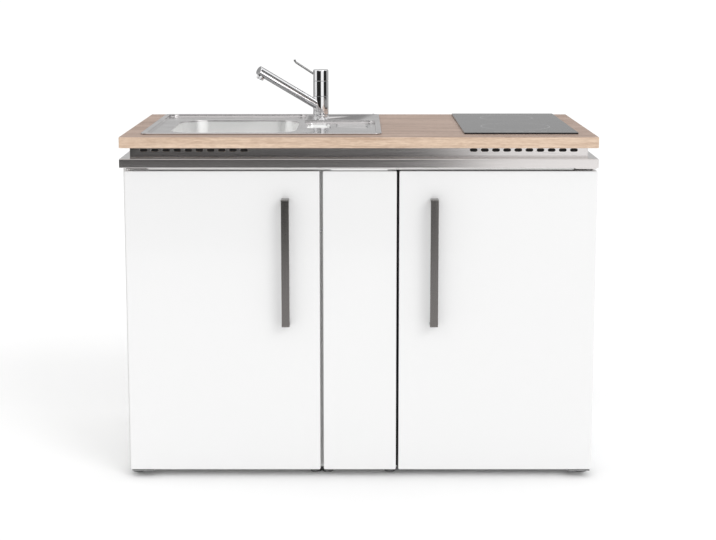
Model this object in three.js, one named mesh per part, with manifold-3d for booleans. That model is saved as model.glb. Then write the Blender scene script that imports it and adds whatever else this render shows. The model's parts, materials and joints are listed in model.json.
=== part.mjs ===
// Kitchenette unit, 1200 mm wide: oak worktop with an inset steel sink, a chrome mixer tap and
// a glass hob, carried by a folded steel surround on a sink cabinet, a narrow bottle pull-out
// and a small refrigerator.
// Millimetres. X runs to the right, Y to the back, Z up, with the floor at Z = 0.

import * as THREE from 'three';
import { mergeVertices } from 'three/addons/utils/BufferGeometryUtils.js';
import Module from 'manifold-3d';

const wasm = await Module();
wasm.setup();

// ---------------------------------------------------------------- driving dimensions

// Running and seating clearances
const seat = 0.3; // between pieces that rest on each other
const bushClearance = 0.16; // round a hinge pin
const slideClearance = 0.7; // between the channels of the runner
const tapClearance = 0.3; // between the turning parts of the tap

// Worktop
const worktopDepth = 600;
const worktopThickness = 28;
const worktopTop = 885;
const worktopEdgeRound = 1.5;
const worktopOverhang = 5; // past the left cabinet

// Cabinet fronts
const frontSetback = 10; // door faces behind the worktop's front edge
const frontThickness = 19;
const frontBottom = 20;
const frontTopGap = 8.7; // fronts below the cabinets' top
const frontEdgeRound = 2;
const frontCornerRadius = 3;

// Cabinets, from the right end of the worktop to the left
const fridgeUnitWidth = 500;
const pulloutUnitWidth = 195;
const sinkUnitWidth = 500;
const boardThickness = 16;
const cabinetGap = 7; // fronts to cabinet edges
const cabinetFromBack = 10; // backs of the cabinets before the worktop's back edge
const cabinetBottom = 19.6;
const pipeWindowSide = 70; // board left beside, under and over the pipe window in the back
const pipeWindowSill = 180;
const pipeWindowHead = 140;
const pipeWindowRadius = 30;
const leftDoorInset = 6; // outer edge of the left door from its cabinet's side
const leftDoorGap = 4; // free edge of the left door from the next cabinet
const pulloutFrontGap = 4.5;
const rightDoorGap = 2;

// Folded steel surround under the worktop
const steelSheet = 1.5;
const surroundBand = 23; // flush lower band
const surroundRiser = 26.7; // recessed upper band
const riserSetback = 37; // at the front
const riserSideSetback = 22; // at the sides
const surroundLip = 25; // bottom flange that rests on the cabinets
const surroundFlange = 18; // top flange under the worktop
const surroundBend = 1; // outer bend radius
const surroundBackInset = 2;
const ventCount = 10; // slots in each of the two groups
const ventLength = 19.4;
const ventHeight = 8;
const ventPitch = 28.1;
const ventFirst = 289.7; // centre of the innermost slot from the middle
const ventDrop = 8.7; // slot centre below the worktop

// Rear rail that closes the surround
const railDepth = 20;
const railPipeHole = 38;

// Inset sink
const sinkFromFront = 53; // rim from the worktop's front edge
const sinkFromBack = 29;
const sinkSheet = 1.2;
const rimHeight = 3.5;
const rimRadius = 18;
const rimWidth = 14;
const cutoutInset = 9.5; // worktop cut-out inside the rim
const recessDepth = 6;
const recessRadius = 26;
const bowlLeftMargin = 85; // bowl from the inside of the cabinet's left side
const bowlRightMargin = 51;
const bowlFromLeft = 60; // bowl from the rim's left edge
const bowlFromFront = 63; // bowl from the rim's front edge
const bowlFromBack = 118;
const bowlRadius = 75;
const bowlHeight = 150;
const bowlDraft = 18;
const bowlLand = 14; // recess to the right of the bowl
const deckDepth = 184; // raised deck that carries the tap
const drainerLength = 135; // from the tray to the rim's right edge
const trayWidth = 63;
const trayDepth = 143;
const trayHeight = 12;
const trayFromBowl = 22;
const trayFromDeck = 6;
const trayRadius = 14;
const grooveCount = 4;
const grooveRadius = 6;
const grooveSink = 3; // depth of a groove in the drainer
const grooveFromTray = 16;
const grooveLength = 84;
const grooveStartPitch = 22;
const grooveEndPitch = 44;
const drainRadius = 45;
const drainDishReach = 3; // past the waste's flange
const drainDish = 3;
const overflowHoleRadius = 9;

// Waste, strainer, trap and overflow
const wasteWall = 2;
const wasteFlange = 9; // flange reach over the bowl floor
const wasteCupHeight = 40;
const tailRadius = 20;
const tailLength = 60;
const strainerHeight = 26;
const strainerRimRadius = 47;
const strainerSlots = 6;
const trapRadius = 32;
const trapHeight = 115;
const trapNut = 12;
const pipeRadius = 16;
const overflowPipeRadius = 9;
const overflowBend = 80; // where the pipe turns down, below the tray

// Tap
const tapFromTray = 35; // tap axis from the tray's left edge
const tapFromBack = 156; // and from the rim's back edge
const tapRadius = 21.3;
const tapHoleRadius = 17.5;
const tapBaseHeight = 13;
const tapNeckHeight = 11;
const tapCollarHeight = 41;
const tapHeadHeight = 42;
const tapCapHeight = 31;
const tapCoreRadius = 14;
const tapFlangeRadius = 24;
const tapWasherReach = 2.5;
const shankLength = 55;
const spoutRadius = 12.5;
const spoutReach = 190; // horizontal, from the tap's axis to the end of the spout
const spoutRootHeight = 34; // spout's axis at the tap's axis, above the deck
const spoutTipHeight = 142;
const spoutTurn = 30; // degrees that the spout is turned to the front
const aeratorRadius = 10;
const aeratorLength = 7;
const aeratorFromTip = 14;
const capWall = 2.5;
const leverRadius = 3;
const leverBall = 5;
const leverRise = 33; // degrees
const leverReach = 71; // horizontal
const leverTipLength = 6;
const leverSlotWidth = 7.4;

// Hob
const hobWidth = 290;
const hobThickness = 4;
const hobFromRight = 42;
const hobFromFront = 65;
const hobFromBack = 21;
const hobCorner = 4;
const hobBaseInset = 14;
const hobBaseHeight = 46;
const hobSheet = 1;
const hobCutoutMargin = 2;

// Door hinges: a plate above and below each door with a pin that enters the door
const pinRadius = 4;
const pinDepth = 10;
const pivotFromEdge = 10;
const pivotFromBack = 8; // left door
const fridgePivotDepth = 22; // right door: behind its face
const plateThickness = 3;
const plateWidth = 56;
const plateReach = 34; // in over or under its cabinet
const plateInset = 3;
const lowerPlateNeck = 16; // width of a lower plate beside the foot

// Bar handles
const handleWidth = 20;
const handleLength = 326;
const handleTopDrop = 69; // below the top of the door
const handleProud = 30;
const handleBar = 7;
const handleBend = 5;
const catchDrop = 154; // door catch below the top of the door
const handleFromEdge = 86; // centre line from the free edge of the left door
const rightHandleFromEdge = 88;

// Feet
const footPad = 17;
const footNarrowPad = 15;
const footWidePad = 20;
const footPadHeight = 5;
const footStem = 11;
const footInset = 46; // front of the pads behind the worktop's front edge
const footRearInset = 70;
const footFromSide = 19;
const fridgeFootInset = 90; // the inner front foot of the refrigerator stands further back

// Bottle pull-out
const runnerFromFront = 4; // behind the cabinet's front edge
const runnerFromBack = 60;
const runnerHalfWidth = 26;
const runnerHeight = 20;
const runnerSheet = 1.5;
const runnerLip = 5;
const frameSheet = 2;
const frameFromBack = 90;
const frameWidth = 140;
const frameTopDrop = 59; // below the top of the front
const frameRearHeight = 520;
const frameWindow = 22; // margin round the windows of the frame
const basketWall = 1.5;
const basketHeight = 78;
const basketRadius = 14;
const basketSlots = 4;
const upperBasketLift = 330;

// Refrigerator
const fridgeWall = 32;
const fridgeSideGap = 4;
const fridgeDoorThickness = 42;
const fridgeFromBack = 54.7;
const gasketThickness = 11.4;
const gasketWidth = 12;
const linerSheet = 3;
const dykeWidth = 16;
const dykeDepth = 46;
const dykeInset = 62; // outer faces of the dykes from the door's edges
const rackDepth = 96;
const rackHeight = 70;
const rackWall = 2.5;
const lowerRackLevel = 110; // above the door's lower edge
const lowerShelfLevel = 430;
const upperShelfLevel = 590;
const rackAboveShelf = 40; // upper rack over the lower shelf
const shelfFromFront = 76;
const shelfFromBack = 22;
const shelfThickness = 5;
const shelfLedge = 7;
const nicheHeight = 185;
const nicheDepth = 165;
const nicheFloor = 25;
const condenserMargin = 56; // beside the condenser
const condenserSill = 60; // below it
const condenserTubes = 6;
const condenserPitch = 72;
const condenserTube = 3;
const condenserWires = 3;
const compressorRadius = 64;
const compressorHeight = 136;
const knobRadius = 13;
const knobLength = 12;
const knobFromSide = 70; // from the side, the front and the roof of the cavity
const knobFromFront = 70;
const knobDrop = 20;
const housingWidth = 100; // of the thermostat
const housingDepth = 120;

// ---------------------------------------------------------------- derived places

const front = -worktopDepth / 2 + (handleProud - frontSetback) / 2;
const back = front + worktopDepth;
const worktopWidth = worktopOverhang + sinkUnitWidth + pulloutUnitWidth + fridgeUnitWidth;
const left = -worktopWidth / 2;
const right = worktopWidth / 2;
const worktopUnder = worktopTop - worktopThickness;
const face = front + frontSetback;
const frontBack = face + frontThickness;
const cabinetFront = frontBack + cabinetGap;
const cabinetBack = back - cabinetFromBack;
const fridgeLeft = right - fridgeUnitWidth;
const pulloutLeft = fridgeLeft - pulloutUnitWidth;
const sinkUnitLeft = pulloutLeft - sinkUnitWidth;
const surroundBottom = worktopUnder - seat - surroundRiser - surroundBand;
const cabinetTop = surroundBottom - seat;
const frontTop = cabinetTop - frontTopGap;
const rimTop = worktopTop + seat + rimHeight;
const bowlX = sinkUnitLeft + boardThickness + bowlLeftMargin;
const bowlWidth = pulloutLeft - boardThickness - bowlRightMargin - bowlX;
const trayX = bowlX + bowlWidth + trayFromBowl;
const sinkX = bowlX - bowlFromLeft;
const sinkWidth = trayX + trayWidth + drainerLength - sinkX;
const sinkY = front + sinkFromFront;
const sinkDepth = worktopDepth - sinkFromFront - sinkFromBack;
const bowlY = sinkY + bowlFromFront;
const bowlDepth = sinkDepth - bowlFromFront - bowlFromBack;
const deckFront = sinkY + sinkDepth - deckDepth;
const trayY = deckFront - trayFromDeck - trayDepth;
const drain = [bowlX + bowlWidth / 2, bowlY + bowlDepth / 2];
const bowlFloor = rimTop - bowlHeight - drainDish;
const drainDishRadius = drainRadius + wasteFlange + drainDishReach;
const tap = [trayX + tapFromTray, sinkY + sinkDepth - tapFromBack];
const leftDoor = [sinkUnitLeft + leftDoorInset, pulloutLeft - leftDoorGap];
const pulloutFront = [pulloutLeft + pulloutFrontGap, fridgeLeft - pulloutFrontGap];
const rightDoor = [fridgeLeft + rightDoorGap, right];
const leftPivot = [leftDoor[0] + pivotFromEdge, frontBack - pivotFromBack];
const rightPivot = [rightDoor[1] - pivotFromEdge, face + fridgePivotDepth];
const fridgeDoorBack = face + fridgeDoorThickness;
const linerBack = fridgeDoorBack + seat + linerSheet;
const fridgeFront = linerBack + gasketThickness + 2 * seat;
const fridgeBack = back - fridgeFromBack;
const fridge = [fridgeLeft + fridgeSideGap, right - fridgeSideGap];
const cavity = [fridge[0] + fridgeWall, fridge[1] - fridgeWall];
const knobAt = [cavity[1] - knobFromSide, fridgeFront + knobFromFront, cabinetTop - fridgeWall - knobDrop];
const footTop = cabinetBottom - seat;

// ---------------------------------------------------------------- materials

function finish(colour, roughness, metalness = 0) {
  return new THREE.MeshStandardMaterial({ color: colour, roughness, metalness });
}

const oak = finish(0xc9ad97, 0.5);
const whiteGloss = finish(0xf4f4f4, 0.2);
const whiteBoard = finish(0xeeeeec, 0.5);
const steel = finish(0xb8b4b2, 0.35, 1);
const chrome = finish(0xe6e6e8, 0.08, 1);
const blackGlass = finish(0x3a3839, 0.1);
const greyPlastic = finish(0x8c8c8e, 0.5);
const whitePlastic = finish(0xf0f1f2, 0.4);
const clearPlastic = finish(0xd6e2e6, 0.15);
const blackEnamel = finish(0x202022, 0.4);
const rubber = finish(0xdcdcda, 0.8);

// ---------------------------------------------------------------- solids

// A geometry as a closed solid: shared vertices are merged, slivers dropped, faces turned out.
function solid(geometry) {
  const bare = geometry.clone();
  for (const name of Object.keys(bare.attributes)) {
    if (name !== 'position') bare.deleteAttribute(name);
  }
  const merged = mergeVertices(bare, 1e-3);
  const points = merged.attributes.position.array;
  const triangles = [];
  const corner = [new THREE.Vector3(), new THREE.Vector3(), new THREE.Vector3()];
  let volume = 0;
  for (let i = 0; i < merged.index.count; i += 3) {
    const ids = [0, 1, 2].map((k) => merged.index.array[i + k]);
    if (new Set(ids).size < 3) continue;
    triangles.push(...ids);
    ids.forEach((id, k) => corner[k].fromArray(points, 3 * id));
    volume += corner[0].dot(corner[1].cross(corner[2]));
  }
  if (volume < 0) triangles.reverse();
  return new wasm.Manifold(new wasm.Mesh({
    numProp: 3,
    vertProperties: new Float32Array(points),
    triVerts: new Uint32Array(triangles),
  }));
}

function join(...pieces) {
  return pieces.reduce((whole, piece) => whole.add(piece));
}

function cut(body, ...tools) {
  return tools.reduce((rest, tool) => rest.subtract(tool), body);
}

function block([x0, x1], [y0, y1], [z0, z1]) {
  const box = new THREE.BoxGeometry(x1 - x0, y1 - y0, z1 - z0);
  return solid(box.translate((x0 + x1) / 2, (y0 + y1) / 2, (z0 + z1) / 2));
}

// A closed outline through points, with each corner rounded where it has a radius.
function outline(points) {
  const shape = new THREE.Shape();
  points.forEach(([x, y, radius = 0], i) => {
    const here = new THREE.Vector2(x, y);
    const before = new THREE.Vector2(...points.at(i - 1)).sub(here).setLength(radius).add(here);
    const after = new THREE.Vector2(...points[(i + 1) % points.length]);
    after.sub(here).setLength(radius).add(here);
    if (i === 0) shape.moveTo(before.x, before.y);
    else shape.lineTo(before.x, before.y);
    if (radius > 0) shape.quadraticCurveTo(x, y, after.x, after.y);
  });
  shape.closePath();
  return shape;
}

function roundedRect([x0, x1], [y0, y1], radius) {
  const shape = new THREE.Shape();
  const quarter = Math.PI / 2;
  shape.absarc(x1 - radius, y0 + radius, radius, -quarter, 0);
  shape.absarc(x1 - radius, y1 - radius, radius, 0, quarter);
  shape.absarc(x0 + radius, y1 - radius, radius, quarter, 2 * quarter);
  shape.absarc(x0 + radius, y0 + radius, radius, 2 * quarter, 3 * quarter);
  shape.closePath();
  return shape;
}

// Extrudes a shape between two levels. With a bevel, its edges are eased within those levels.
function prism(shape, [from, to], { bevel = 0, curveSegments = 5 } = {}) {
  return new THREE.ExtrudeGeometry(shape, {
    depth: to - from - 2 * bevel,
    curveSegments,
    bevelEnabled: bevel > 0,
    bevelThickness: bevel,
    bevelSize: bevel,
    bevelOffset: -bevel,
    bevelSegments: 2,
  }).translate(0, 0, from + bevel);
}

// A shape drawn in X and Y, extruded in Z.
function upright(shape, levels, options) {
  return solid(prism(shape, levels, options));
}

// A shape drawn in X and Z, extruded in Y.
function facing(shape, [from, to], options) {
  return solid(prism(shape, [-to, -from], options).rotateX(Math.PI / 2));
}

// A shape drawn in Y and Z, extruded in X.
function crosswise(shape, levels, options) {
  const turn = new THREE.Matrix4().makeBasis(
    new THREE.Vector3(0, 1, 0),
    new THREE.Vector3(0, 0, 1),
    new THREE.Vector3(1, 0, 0),
  );
  return solid(prism(shape, levels, options).applyMatrix4(turn));
}

// A profile of [radius, height] points turned about a vertical axis. A profile that doesn't
// start on the axis is closed on itself.
function turned(profile, [x, y], base, segments = 20) {
  const closed = profile[0][0] > 0 ? [...profile, profile[0]] : profile;
  const points = closed.map(([radius, height]) => new THREE.Vector2(radius, height));
  return solid(new THREE.LatheGeometry(points, segments).rotateX(Math.PI / 2).translate(x, y, base));
}

// A round bar between two points.
function bar(from, to, radius, sides = 12) {
  const start = new THREE.Vector3(...from);
  const along = new THREE.Vector3(...to).sub(start);
  const rod = new THREE.CylinderGeometry(radius, radius, along.length(), sides);
  const turn = new THREE.Quaternion().setFromUnitVectors(new THREE.Vector3(0, 1, 0), along.clone().normalize());
  return solid(rod.applyQuaternion(turn).translate(...start.addScaledVector(along, 0.5).toArray()));
}

// A round pipe along a smooth curve through points.
function pipe(points, radius, sides = 10, steps = 16) {
  const path = new THREE.CatmullRomCurve3(points.map((point) => new THREE.Vector3(...point)));
  const section = new THREE.Shape(new THREE.EllipseCurve(0, 0, radius, radius).getPoints(sides).slice(1));
  return solid(new THREE.ExtrudeGeometry(section, { extrudePath: path, steps, bevelEnabled: false }));
}

// A ring of points round a rounded rectangle. Every ring has the same number of points.
function ring([x0, x1], [y0, y1], radius, z, steps = 4) {
  const corners = [[x1, y0, -1], [x1, y1, 0], [x0, y1, 1], [x0, y0, 2]];
  return corners.flatMap(([x, y, quarter]) => {
    const cx = x === x1 ? x - radius : x + radius;
    const cy = y === y1 ? y - radius : y + radius;
    return Array.from({ length: steps + 1 }, (_, i) => {
      const angle = (quarter + i / steps) * Math.PI / 2;
      return [cx + radius * Math.cos(angle), cy + radius * Math.sin(angle), z];
    });
  });
}

// A solid skinned over rings, with flat ends.
function loft(rings) {
  const size = rings[0].length;
  const centre = (points) => [0, 1, 2].map((k) => points.reduce((sum, p) => sum + p[k], 0) / size);
  const points = [...rings.flat(), centre(rings[0]), centre(rings.at(-1))];
  const index = [];
  for (let i = 0; i < size; i += 1) {
    const next = (i + 1) % size;
    for (let level = 0; level < rings.length - 1; level += 1) {
      const [a, b] = [level * size + i, level * size + next];
      index.push(a, b, b + size, a, b + size, a + size);
    }
    const top = (rings.length - 1) * size;
    index.push(next, i, points.length - 2, top + i, top + next, points.length - 1);
  }
  const geometry = new THREE.BufferGeometry();
  geometry.setAttribute('position', new THREE.Float32BufferAttribute(points.flat(), 3));
  geometry.setIndex(index);
  return solid(geometry);
}

// ---------------------------------------------------------------- assembly

const kitchenette = new THREE.Group();

function place(name, body, material) {
  const { vertProperties, triVerts } = body.getMesh();
  const geometry = new THREE.BufferGeometry();
  geometry.setAttribute('position', new THREE.BufferAttribute(vertProperties, 3));
  geometry.setIndex(new THREE.BufferAttribute(triVerts, 1));
  geometry.computeVertexNormals();
  const mesh = new THREE.Mesh(geometry, material);
  mesh.name = name;
  kitchenette.add(mesh);
}

// ---------------------------------------------------------------- worktop and steel surround

function hobPlace(margin) {
  const x1 = right - hobFromRight;
  const y0 = front + hobFromFront;
  return [[x1 - hobWidth + margin, x1 - margin], [y0 + margin, back - hobFromBack - margin]];
}

function worktopBoard() {
  const board = upright(
    roundedRect([left, right], [front, back], frontCornerRadius),
    [worktopUnder, worktopTop],
    { bevel: worktopEdgeRound, curveSegments: 2 },
  );
  const sinkHole = roundedRect(
    [sinkX + cutoutInset, sinkX + sinkWidth - cutoutInset],
    [sinkY + cutoutInset, sinkY + sinkDepth - cutoutInset],
    rimRadius - cutoutInset / 2,
  );
  const hobHole = roundedRect(...hobPlace(hobBaseInset - hobCutoutMargin), hobCorner);
  const through = [worktopUnder - 1, worktopTop + 1];
  const few = { curveSegments: 3 };
  return cut(board, upright(sinkHole, through, few), upright(hobHole, through, few));
}

// Profile of the surround, from the lip on the cabinets to the flange under the worktop.
// Each point is [setback of its fold at the front, at the side, offset from the fold, height].
function surroundProfile() {
  const low = surroundBottom;
  const ledge = low + surroundBand;
  const high = worktopUnder - seat;
  const band = (offset, z) => [offset, offset, z];
  const riser = (offset, z) => [riserSetback + offset, riserSideSetback + offset, z];
  return [
    band(surroundLip, low),
    band(surroundBend, low),
    band(0, low + surroundBend),
    band(0, ledge - surroundBend),
    band(surroundBend, ledge),
    riser(0, ledge),
    riser(0, high),
    riser(surroundFlange, high),
    riser(surroundFlange, high - steelSheet),
    riser(steelSheet, high - steelSheet),
    riser(steelSheet, ledge - steelSheet),
    band(steelSheet, ledge - steelSheet),
    band(steelSheet, low + steelSheet),
    band(surroundLip, low + steelSheet),
  ];
}

// The profile swept round the left side, the front and the right side, mitred at the corners.
function sweptSurround() {
  const profile = surroundProfile();
  const rear = back - surroundBackInset;
  const stations = [
    profile.map(([, side, z]) => [left + side, rear, z]),
    profile.map(([deep, side, z]) => [left + side, front + deep, z]),
    profile.map(([deep, side, z]) => [right - side, front + deep, z]),
    profile.map(([, side, z]) => [right - side, rear, z]),
  ];
  const size = profile.length;
  const index = [];
  for (let station = 0; station < stations.length - 1; station += 1) {
    for (let i = 0; i < size; i += 1) {
      const a = station * size + i;
      const b = station * size + (i + 1) % size;
      index.push(a, b, b + size, a, b + size, a + size);
    }
  }
  const contour = profile.map(([, side, z]) => new THREE.Vector2(side, z));
  const last = (stations.length - 1) * size;
  for (const [a, b, c] of THREE.ShapeUtils.triangulateShape(contour, [])) {
    index.push(a, b, c, last + b, last + a, last + c);
  }
  const geometry = new THREE.BufferGeometry();
  geometry.setAttribute('position', new THREE.Float32BufferAttribute(stations.flat(2), 3));
  geometry.setIndex(index);
  return solid(geometry);
}

function ventSlot(x) {
  const z = worktopUnder - ventDrop;
  const slot = roundedRect(
    [x - ventLength / 2, x + ventLength / 2],
    [z - ventHeight / 2, z + ventHeight / 2],
    ventHeight / 2 - 0.01,
  );
  const riser = front + riserSetback;
  return facing(slot, [riser - steelSheet, riser + 2 * steelSheet], { curveSegments: 1 });
}

function steelSurround() {
  const slots = [];
  for (let i = 0; i < ventCount; i += 1) {
    const x = ventFirst + i * ventPitch;
    slots.push(ventSlot(x), ventSlot(-x));
  }
  return cut(sweptSurround(), ...slots);
}

function rearRail() {
  const end = riserSideSetback + surroundFlange + seat;
  const [y0, y1] = [back - surroundBackInset - railDepth, back - surroundBackInset];
  const [z0, z1] = [surroundBottom, worktopUnder - seat];
  const channel = outline([
    [y0, z0], [y1, z0, 2], [y1, z1, 2], [y0, z1], [y0, z1 - steelSheet],
    [y1 - steelSheet, z1 - steelSheet], [y1 - steelSheet, z0 + steelSheet], [y0, z0 + steelSheet],
  ]);
  const rail = crosswise(channel, [left + end, right - end], { curveSegments: 2 });
  const z = (z0 + z1) / 2;
  const holes = [pulloutLeft, fridgeLeft].map((x) => bar([x, y0, z], [x, y1 + 1, z], railPipeHole / 2, 20));
  return cut(rail, ...holes);
}

// ---------------------------------------------------------------- sink

// A pressing: rings given as [depth below the rim, inset, corner radius]. The outer skin lies
// one sheet outside the inner one.
function pressing([x0, x1], [y0, y1], levels, sheet, steps = 3) {
  return loft(levels.map(([depth, inset, radius], i) => {
    const out = inset - sheet;
    const down = i === 0 ? depth : depth + sheet;
    return ring([x0 + out, x1 - out], [y0 + out, y1 - out], radius + sheet, rimTop - down, steps);
  }));
}

function recessLevels(sheet) {
  const start = sheet > 0 ? sheet / 2 : -1;
  return [[start, -1, recessRadius + 1], [recessDepth - 1, 1, recessRadius - 1], [recessDepth, 2.5, recessRadius - 2.5]];
}

// Everything that is pressed into the sink's flat sheet, as inner hollows or as outer skins.
function sinkPressings(sheet) {
  const rim = [sinkX + rimWidth, sinkX + sinkWidth - rimWidth];
  const deep = [sinkY + rimWidth, sinkY + sinkDepth - rimWidth];
  const bowlZone = pressing([rim[0], bowlX + bowlWidth + bowlLand], deep, recessLevels(sheet), sheet);
  const drainer = pressing([bowlX + bowlRadius, rim[1]], [deep[0], deckFront], recessLevels(sheet), sheet);
  const start = recessDepth - 1;
  const lip = bowlRadius + 4;
  const bowl = pressing([bowlX, bowlX + bowlWidth], [bowlY, bowlY + bowlDepth], [
    [start, -4, lip],
    [recessDepth + 1.5, -2, lip - 2],
    [recessDepth + 6, 0, bowlRadius],
    [bowlHeight - 16, bowlDraft, bowlRadius - 12],
    [bowlHeight - 5, bowlDraft + 5, bowlRadius - 17],
    [bowlHeight, bowlDraft + 16, bowlRadius - 26],
  ], sheet, 5);
  const round = (middle) => [middle - drainDishRadius, middle + drainDishRadius];
  const dish = pressing(round(drain[0]), round(drain[1]), [
    [bowlHeight - 1, -4, drainDishRadius + 4],
    [bowlHeight + drainDish / 2, -1, drainDishRadius + 1],
    [bowlHeight + drainDish, 3, drainDishRadius - 3],
  ], sheet, 5);
  const tray = pressing([trayX, trayX + trayWidth], [trayY, trayY + trayDepth], [
    [start, -2, trayRadius + 2],
    [recessDepth + 2, 0, trayRadius],
    [recessDepth + trayHeight - 2, 3, trayRadius - 3],
    [recessDepth + trayHeight, 6, trayRadius - 6],
  ], sheet);
  return join(bowlZone, drainer, bowl, dish, tray, ...drainerGrooves(sheet));
}

// Grooves that fan out from the tray over the drainer.
function drainerGrooves(sheet) {
  const floor = rimTop - recessDepth;
  const z = floor + grooveRadius - grooveSink;
  const x = trayX + trayWidth + grooveFromTray;
  const y = trayY + trayDepth / 2;
  const grooves = [];
  for (let i = 0; i < grooveCount; i += 1) {
    const step = i - (grooveCount - 1) / 2;
    const from = new THREE.Vector3(x, y + step * grooveStartPitch, z);
    const to = new THREE.Vector3(x + grooveLength, y + step * grooveEndPitch, z);
    const along = to.clone().sub(from);
    const capsule = new THREE.CapsuleGeometry(grooveRadius + sheet, along.length(), 2, 8);
    const turn = new THREE.Quaternion();
    turn.setFromUnitVectors(new THREE.Vector3(0, 1, 0), along.normalize());
    grooves.push(solid(capsule.applyQuaternion(turn).translate(...from.lerp(to, 0.5).toArray())));
  }
  const over = block([x - 20, x + grooveLength + 20], [sinkY, sinkY + sinkDepth], [floor, rimTop + 10]);
  return grooves.map((groove) => (sheet > 0 ? cut(groove, over) : groove));
}

function sinkBody() {
  const edge = (inset) => [[sinkX + inset, sinkX + sinkWidth - inset], [sinkY + inset, sinkY + sinkDepth - inset]];
  const round = 2;
  const rim = loft([
    ring(...edge(0), rimRadius, worktopTop + seat),
    ring(...edge(0), rimRadius, rimTop - round),
    ring(...edge(round / 3), rimRadius - round / 3, rimTop - round / 2.5),
    ring(...edge(round), rimRadius - round, rimTop),
  ]);
  const hollow = loft([
    ring(...edge(sinkSheet), rimRadius - sinkSheet, worktopTop + seat - 1),
    ring(...edge(sinkSheet), rimRadius - sinkSheet, rimTop - round - sinkSheet / 2),
    ring(...edge(round + sinkSheet), rimRadius - round - sinkSheet, rimTop - sinkSheet),
  ]);
  const deck = recessDepth + 5;
  const trayMiddle = [trayX + trayWidth / 2, trayY + trayDepth / 2];
  return cut(
    join(cut(rim, hollow), sinkPressings(sinkSheet)),
    sinkPressings(0),
    turned([[0, -bowlHeight], [drainRadius, -bowlHeight], [drainRadius, 0], [0, 0]], drain, bowlFloor + bowlHeight / 2),
    turned([[0, -deck], [tapHoleRadius, -deck], [tapHoleRadius, deck], [0, deck]], tap, rimTop),
    turned(
      [[0, -deck], [overflowHoleRadius, -deck], [overflowHoleRadius, 0], [0, 0]],
      trayMiddle,
      rimTop - recessDepth,
      16,
    ),
  );
}

// Waste fitting: a flange on the bowl floor, a cup under it and a tail, which the overflow
// pipe from the tray joins.
function sinkWaste() {
  const cup = drainRadius - wasteWall;
  const flange = seat + wasteWall;
  const fitting = turned([
    [tailRadius - wasteWall, -wasteCupHeight - tailLength],
    [tailRadius, -wasteCupHeight - tailLength],
    [tailRadius, -wasteCupHeight - wasteWall],
    [cup, -wasteCupHeight - wasteWall],
    [cup, seat],
    [drainRadius + wasteFlange, seat],
    [drainRadius + wasteFlange - 1, flange],
    [cup - wasteWall, flange],
    [cup - wasteWall, -wasteCupHeight],
    [tailRadius - wasteWall, -wasteCupHeight],
  ], drain, bowlFloor);
  return join(fitting, overflowPipe());
}

// Lift-out strainer basket with a knob, slotted all round.
function sinkStrainer() {
  const rest = 2 * seat + wasteWall;
  const wall = drainRadius - 4 * wasteWall;
  const floor = rest - strainerHeight;
  const sheet = 1.2;
  const basket = turned([
    [0, floor],
    [wall - 3, floor],
    [wall, floor + 3],
    [wall, rest],
    [strainerRimRadius, rest],
    [strainerRimRadius, rest + sheet],
    [wall - sheet, rest + sheet],
    [wall - sheet, floor + 4],
    [wall - 4, floor + sheet],
    [3, floor + sheet],
    [3, -6],
    [8, -3],
    [8, rest],
    [5, rest + 2],
    [0, rest + 2],
  ], drain, bowlFloor, 16);
  const slots = [];
  for (let i = 0; i < strainerSlots; i += 1) {
    const slot = block([wall - 16, wall + 4], [-3, 3], [floor - 1, floor + strainerHeight / 2]);
    slots.push(slot.rotate([0, 0, i * 360 / strainerSlots]).translate([...drain, bowlFloor]));
  }
  return cut(basket, ...slots);
}

// Bottle trap with its nut round the tail, and the outlet pipe to the wall.
function bottleTrap() {
  const inlet = bowlFloor - wasteCupHeight - tailLength;
  const bottle = turned([
    [0, -trapHeight],
    [trapRadius - 8, -trapHeight],
    [trapRadius, -trapHeight + 8],
    [trapRadius, -trapHeight + 26],
    [trapRadius - 3, -trapHeight + 28],
    [trapRadius - 3, -24],
    [tailRadius + 7, -12],
    [tailRadius + 7, trapNut],
    [tailRadius + tapClearance, trapNut],
    [tailRadius + tapClearance, -seat],
    [0, -seat],
  ], drain, inlet);
  const z = inlet - trapHeight / 3;
  const outlet = pipe([
    [drain[0], drain[1] + trapRadius / 2, z],
    [drain[0], drain[1] + trapRadius * 2, z],
    [drain[0], cabinetBack - 40, z - 6],
    [drain[0], cabinetBack + 4, z - 6],
  ], pipeRadius, 12, 6);
  return join(bottle, outlet);
}

// Overflow pipe from the tray down to the side of the waste's tail.
function overflowPipe() {
  const x = trayX + trayWidth / 2;
  const y = trayY + trayDepth / 2;
  const top = rimTop - recessDepth - trayHeight - sinkSheet - seat;
  const low = bowlFloor - wasteCupHeight - tailLength / 2;
  const down = bowlX + bowlWidth + sinkSheet + overflowPipeRadius + 2; // runs down beside the bowl
  const inlet = drain[0] + tailRadius;
  const run = pipe([
    [x, y, top - 4],
    [x - 4, y, top - 24],
    [(x + down) / 2, y, top - 46],
    [down, y, top - overflowBend],
    [down, y, low + 56],
    [down - 14, y, low + 16],
    [(down + inlet) / 2, (y + drain[1]) / 2, low],
    [inlet + 20, drain[1], low],
    [inlet - wasteWall / 2, drain[1], low],
  ], overflowPipeRadius, 8, 16);
  const union = turned([
    [0, -24], [overflowPipeRadius + 3, -24], [overflowPipeRadius + 3, -8], [overflowPipeRadius + 8, -8],
    [overflowPipeRadius + 8, 0], [0, 0],
  ], [x, y], top, 16);
  return join(run, union);
}

// ---------------------------------------------------------------- tap

const collarBase = tapBaseHeight + tapNeckHeight;
const headBase = collarBase + tapCollarHeight;
const capBase = headBase + tapHeadHeight;
const tapTop = capBase + tapCapHeight;
const leverPivot = capBase + leverBall + 1;

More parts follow.
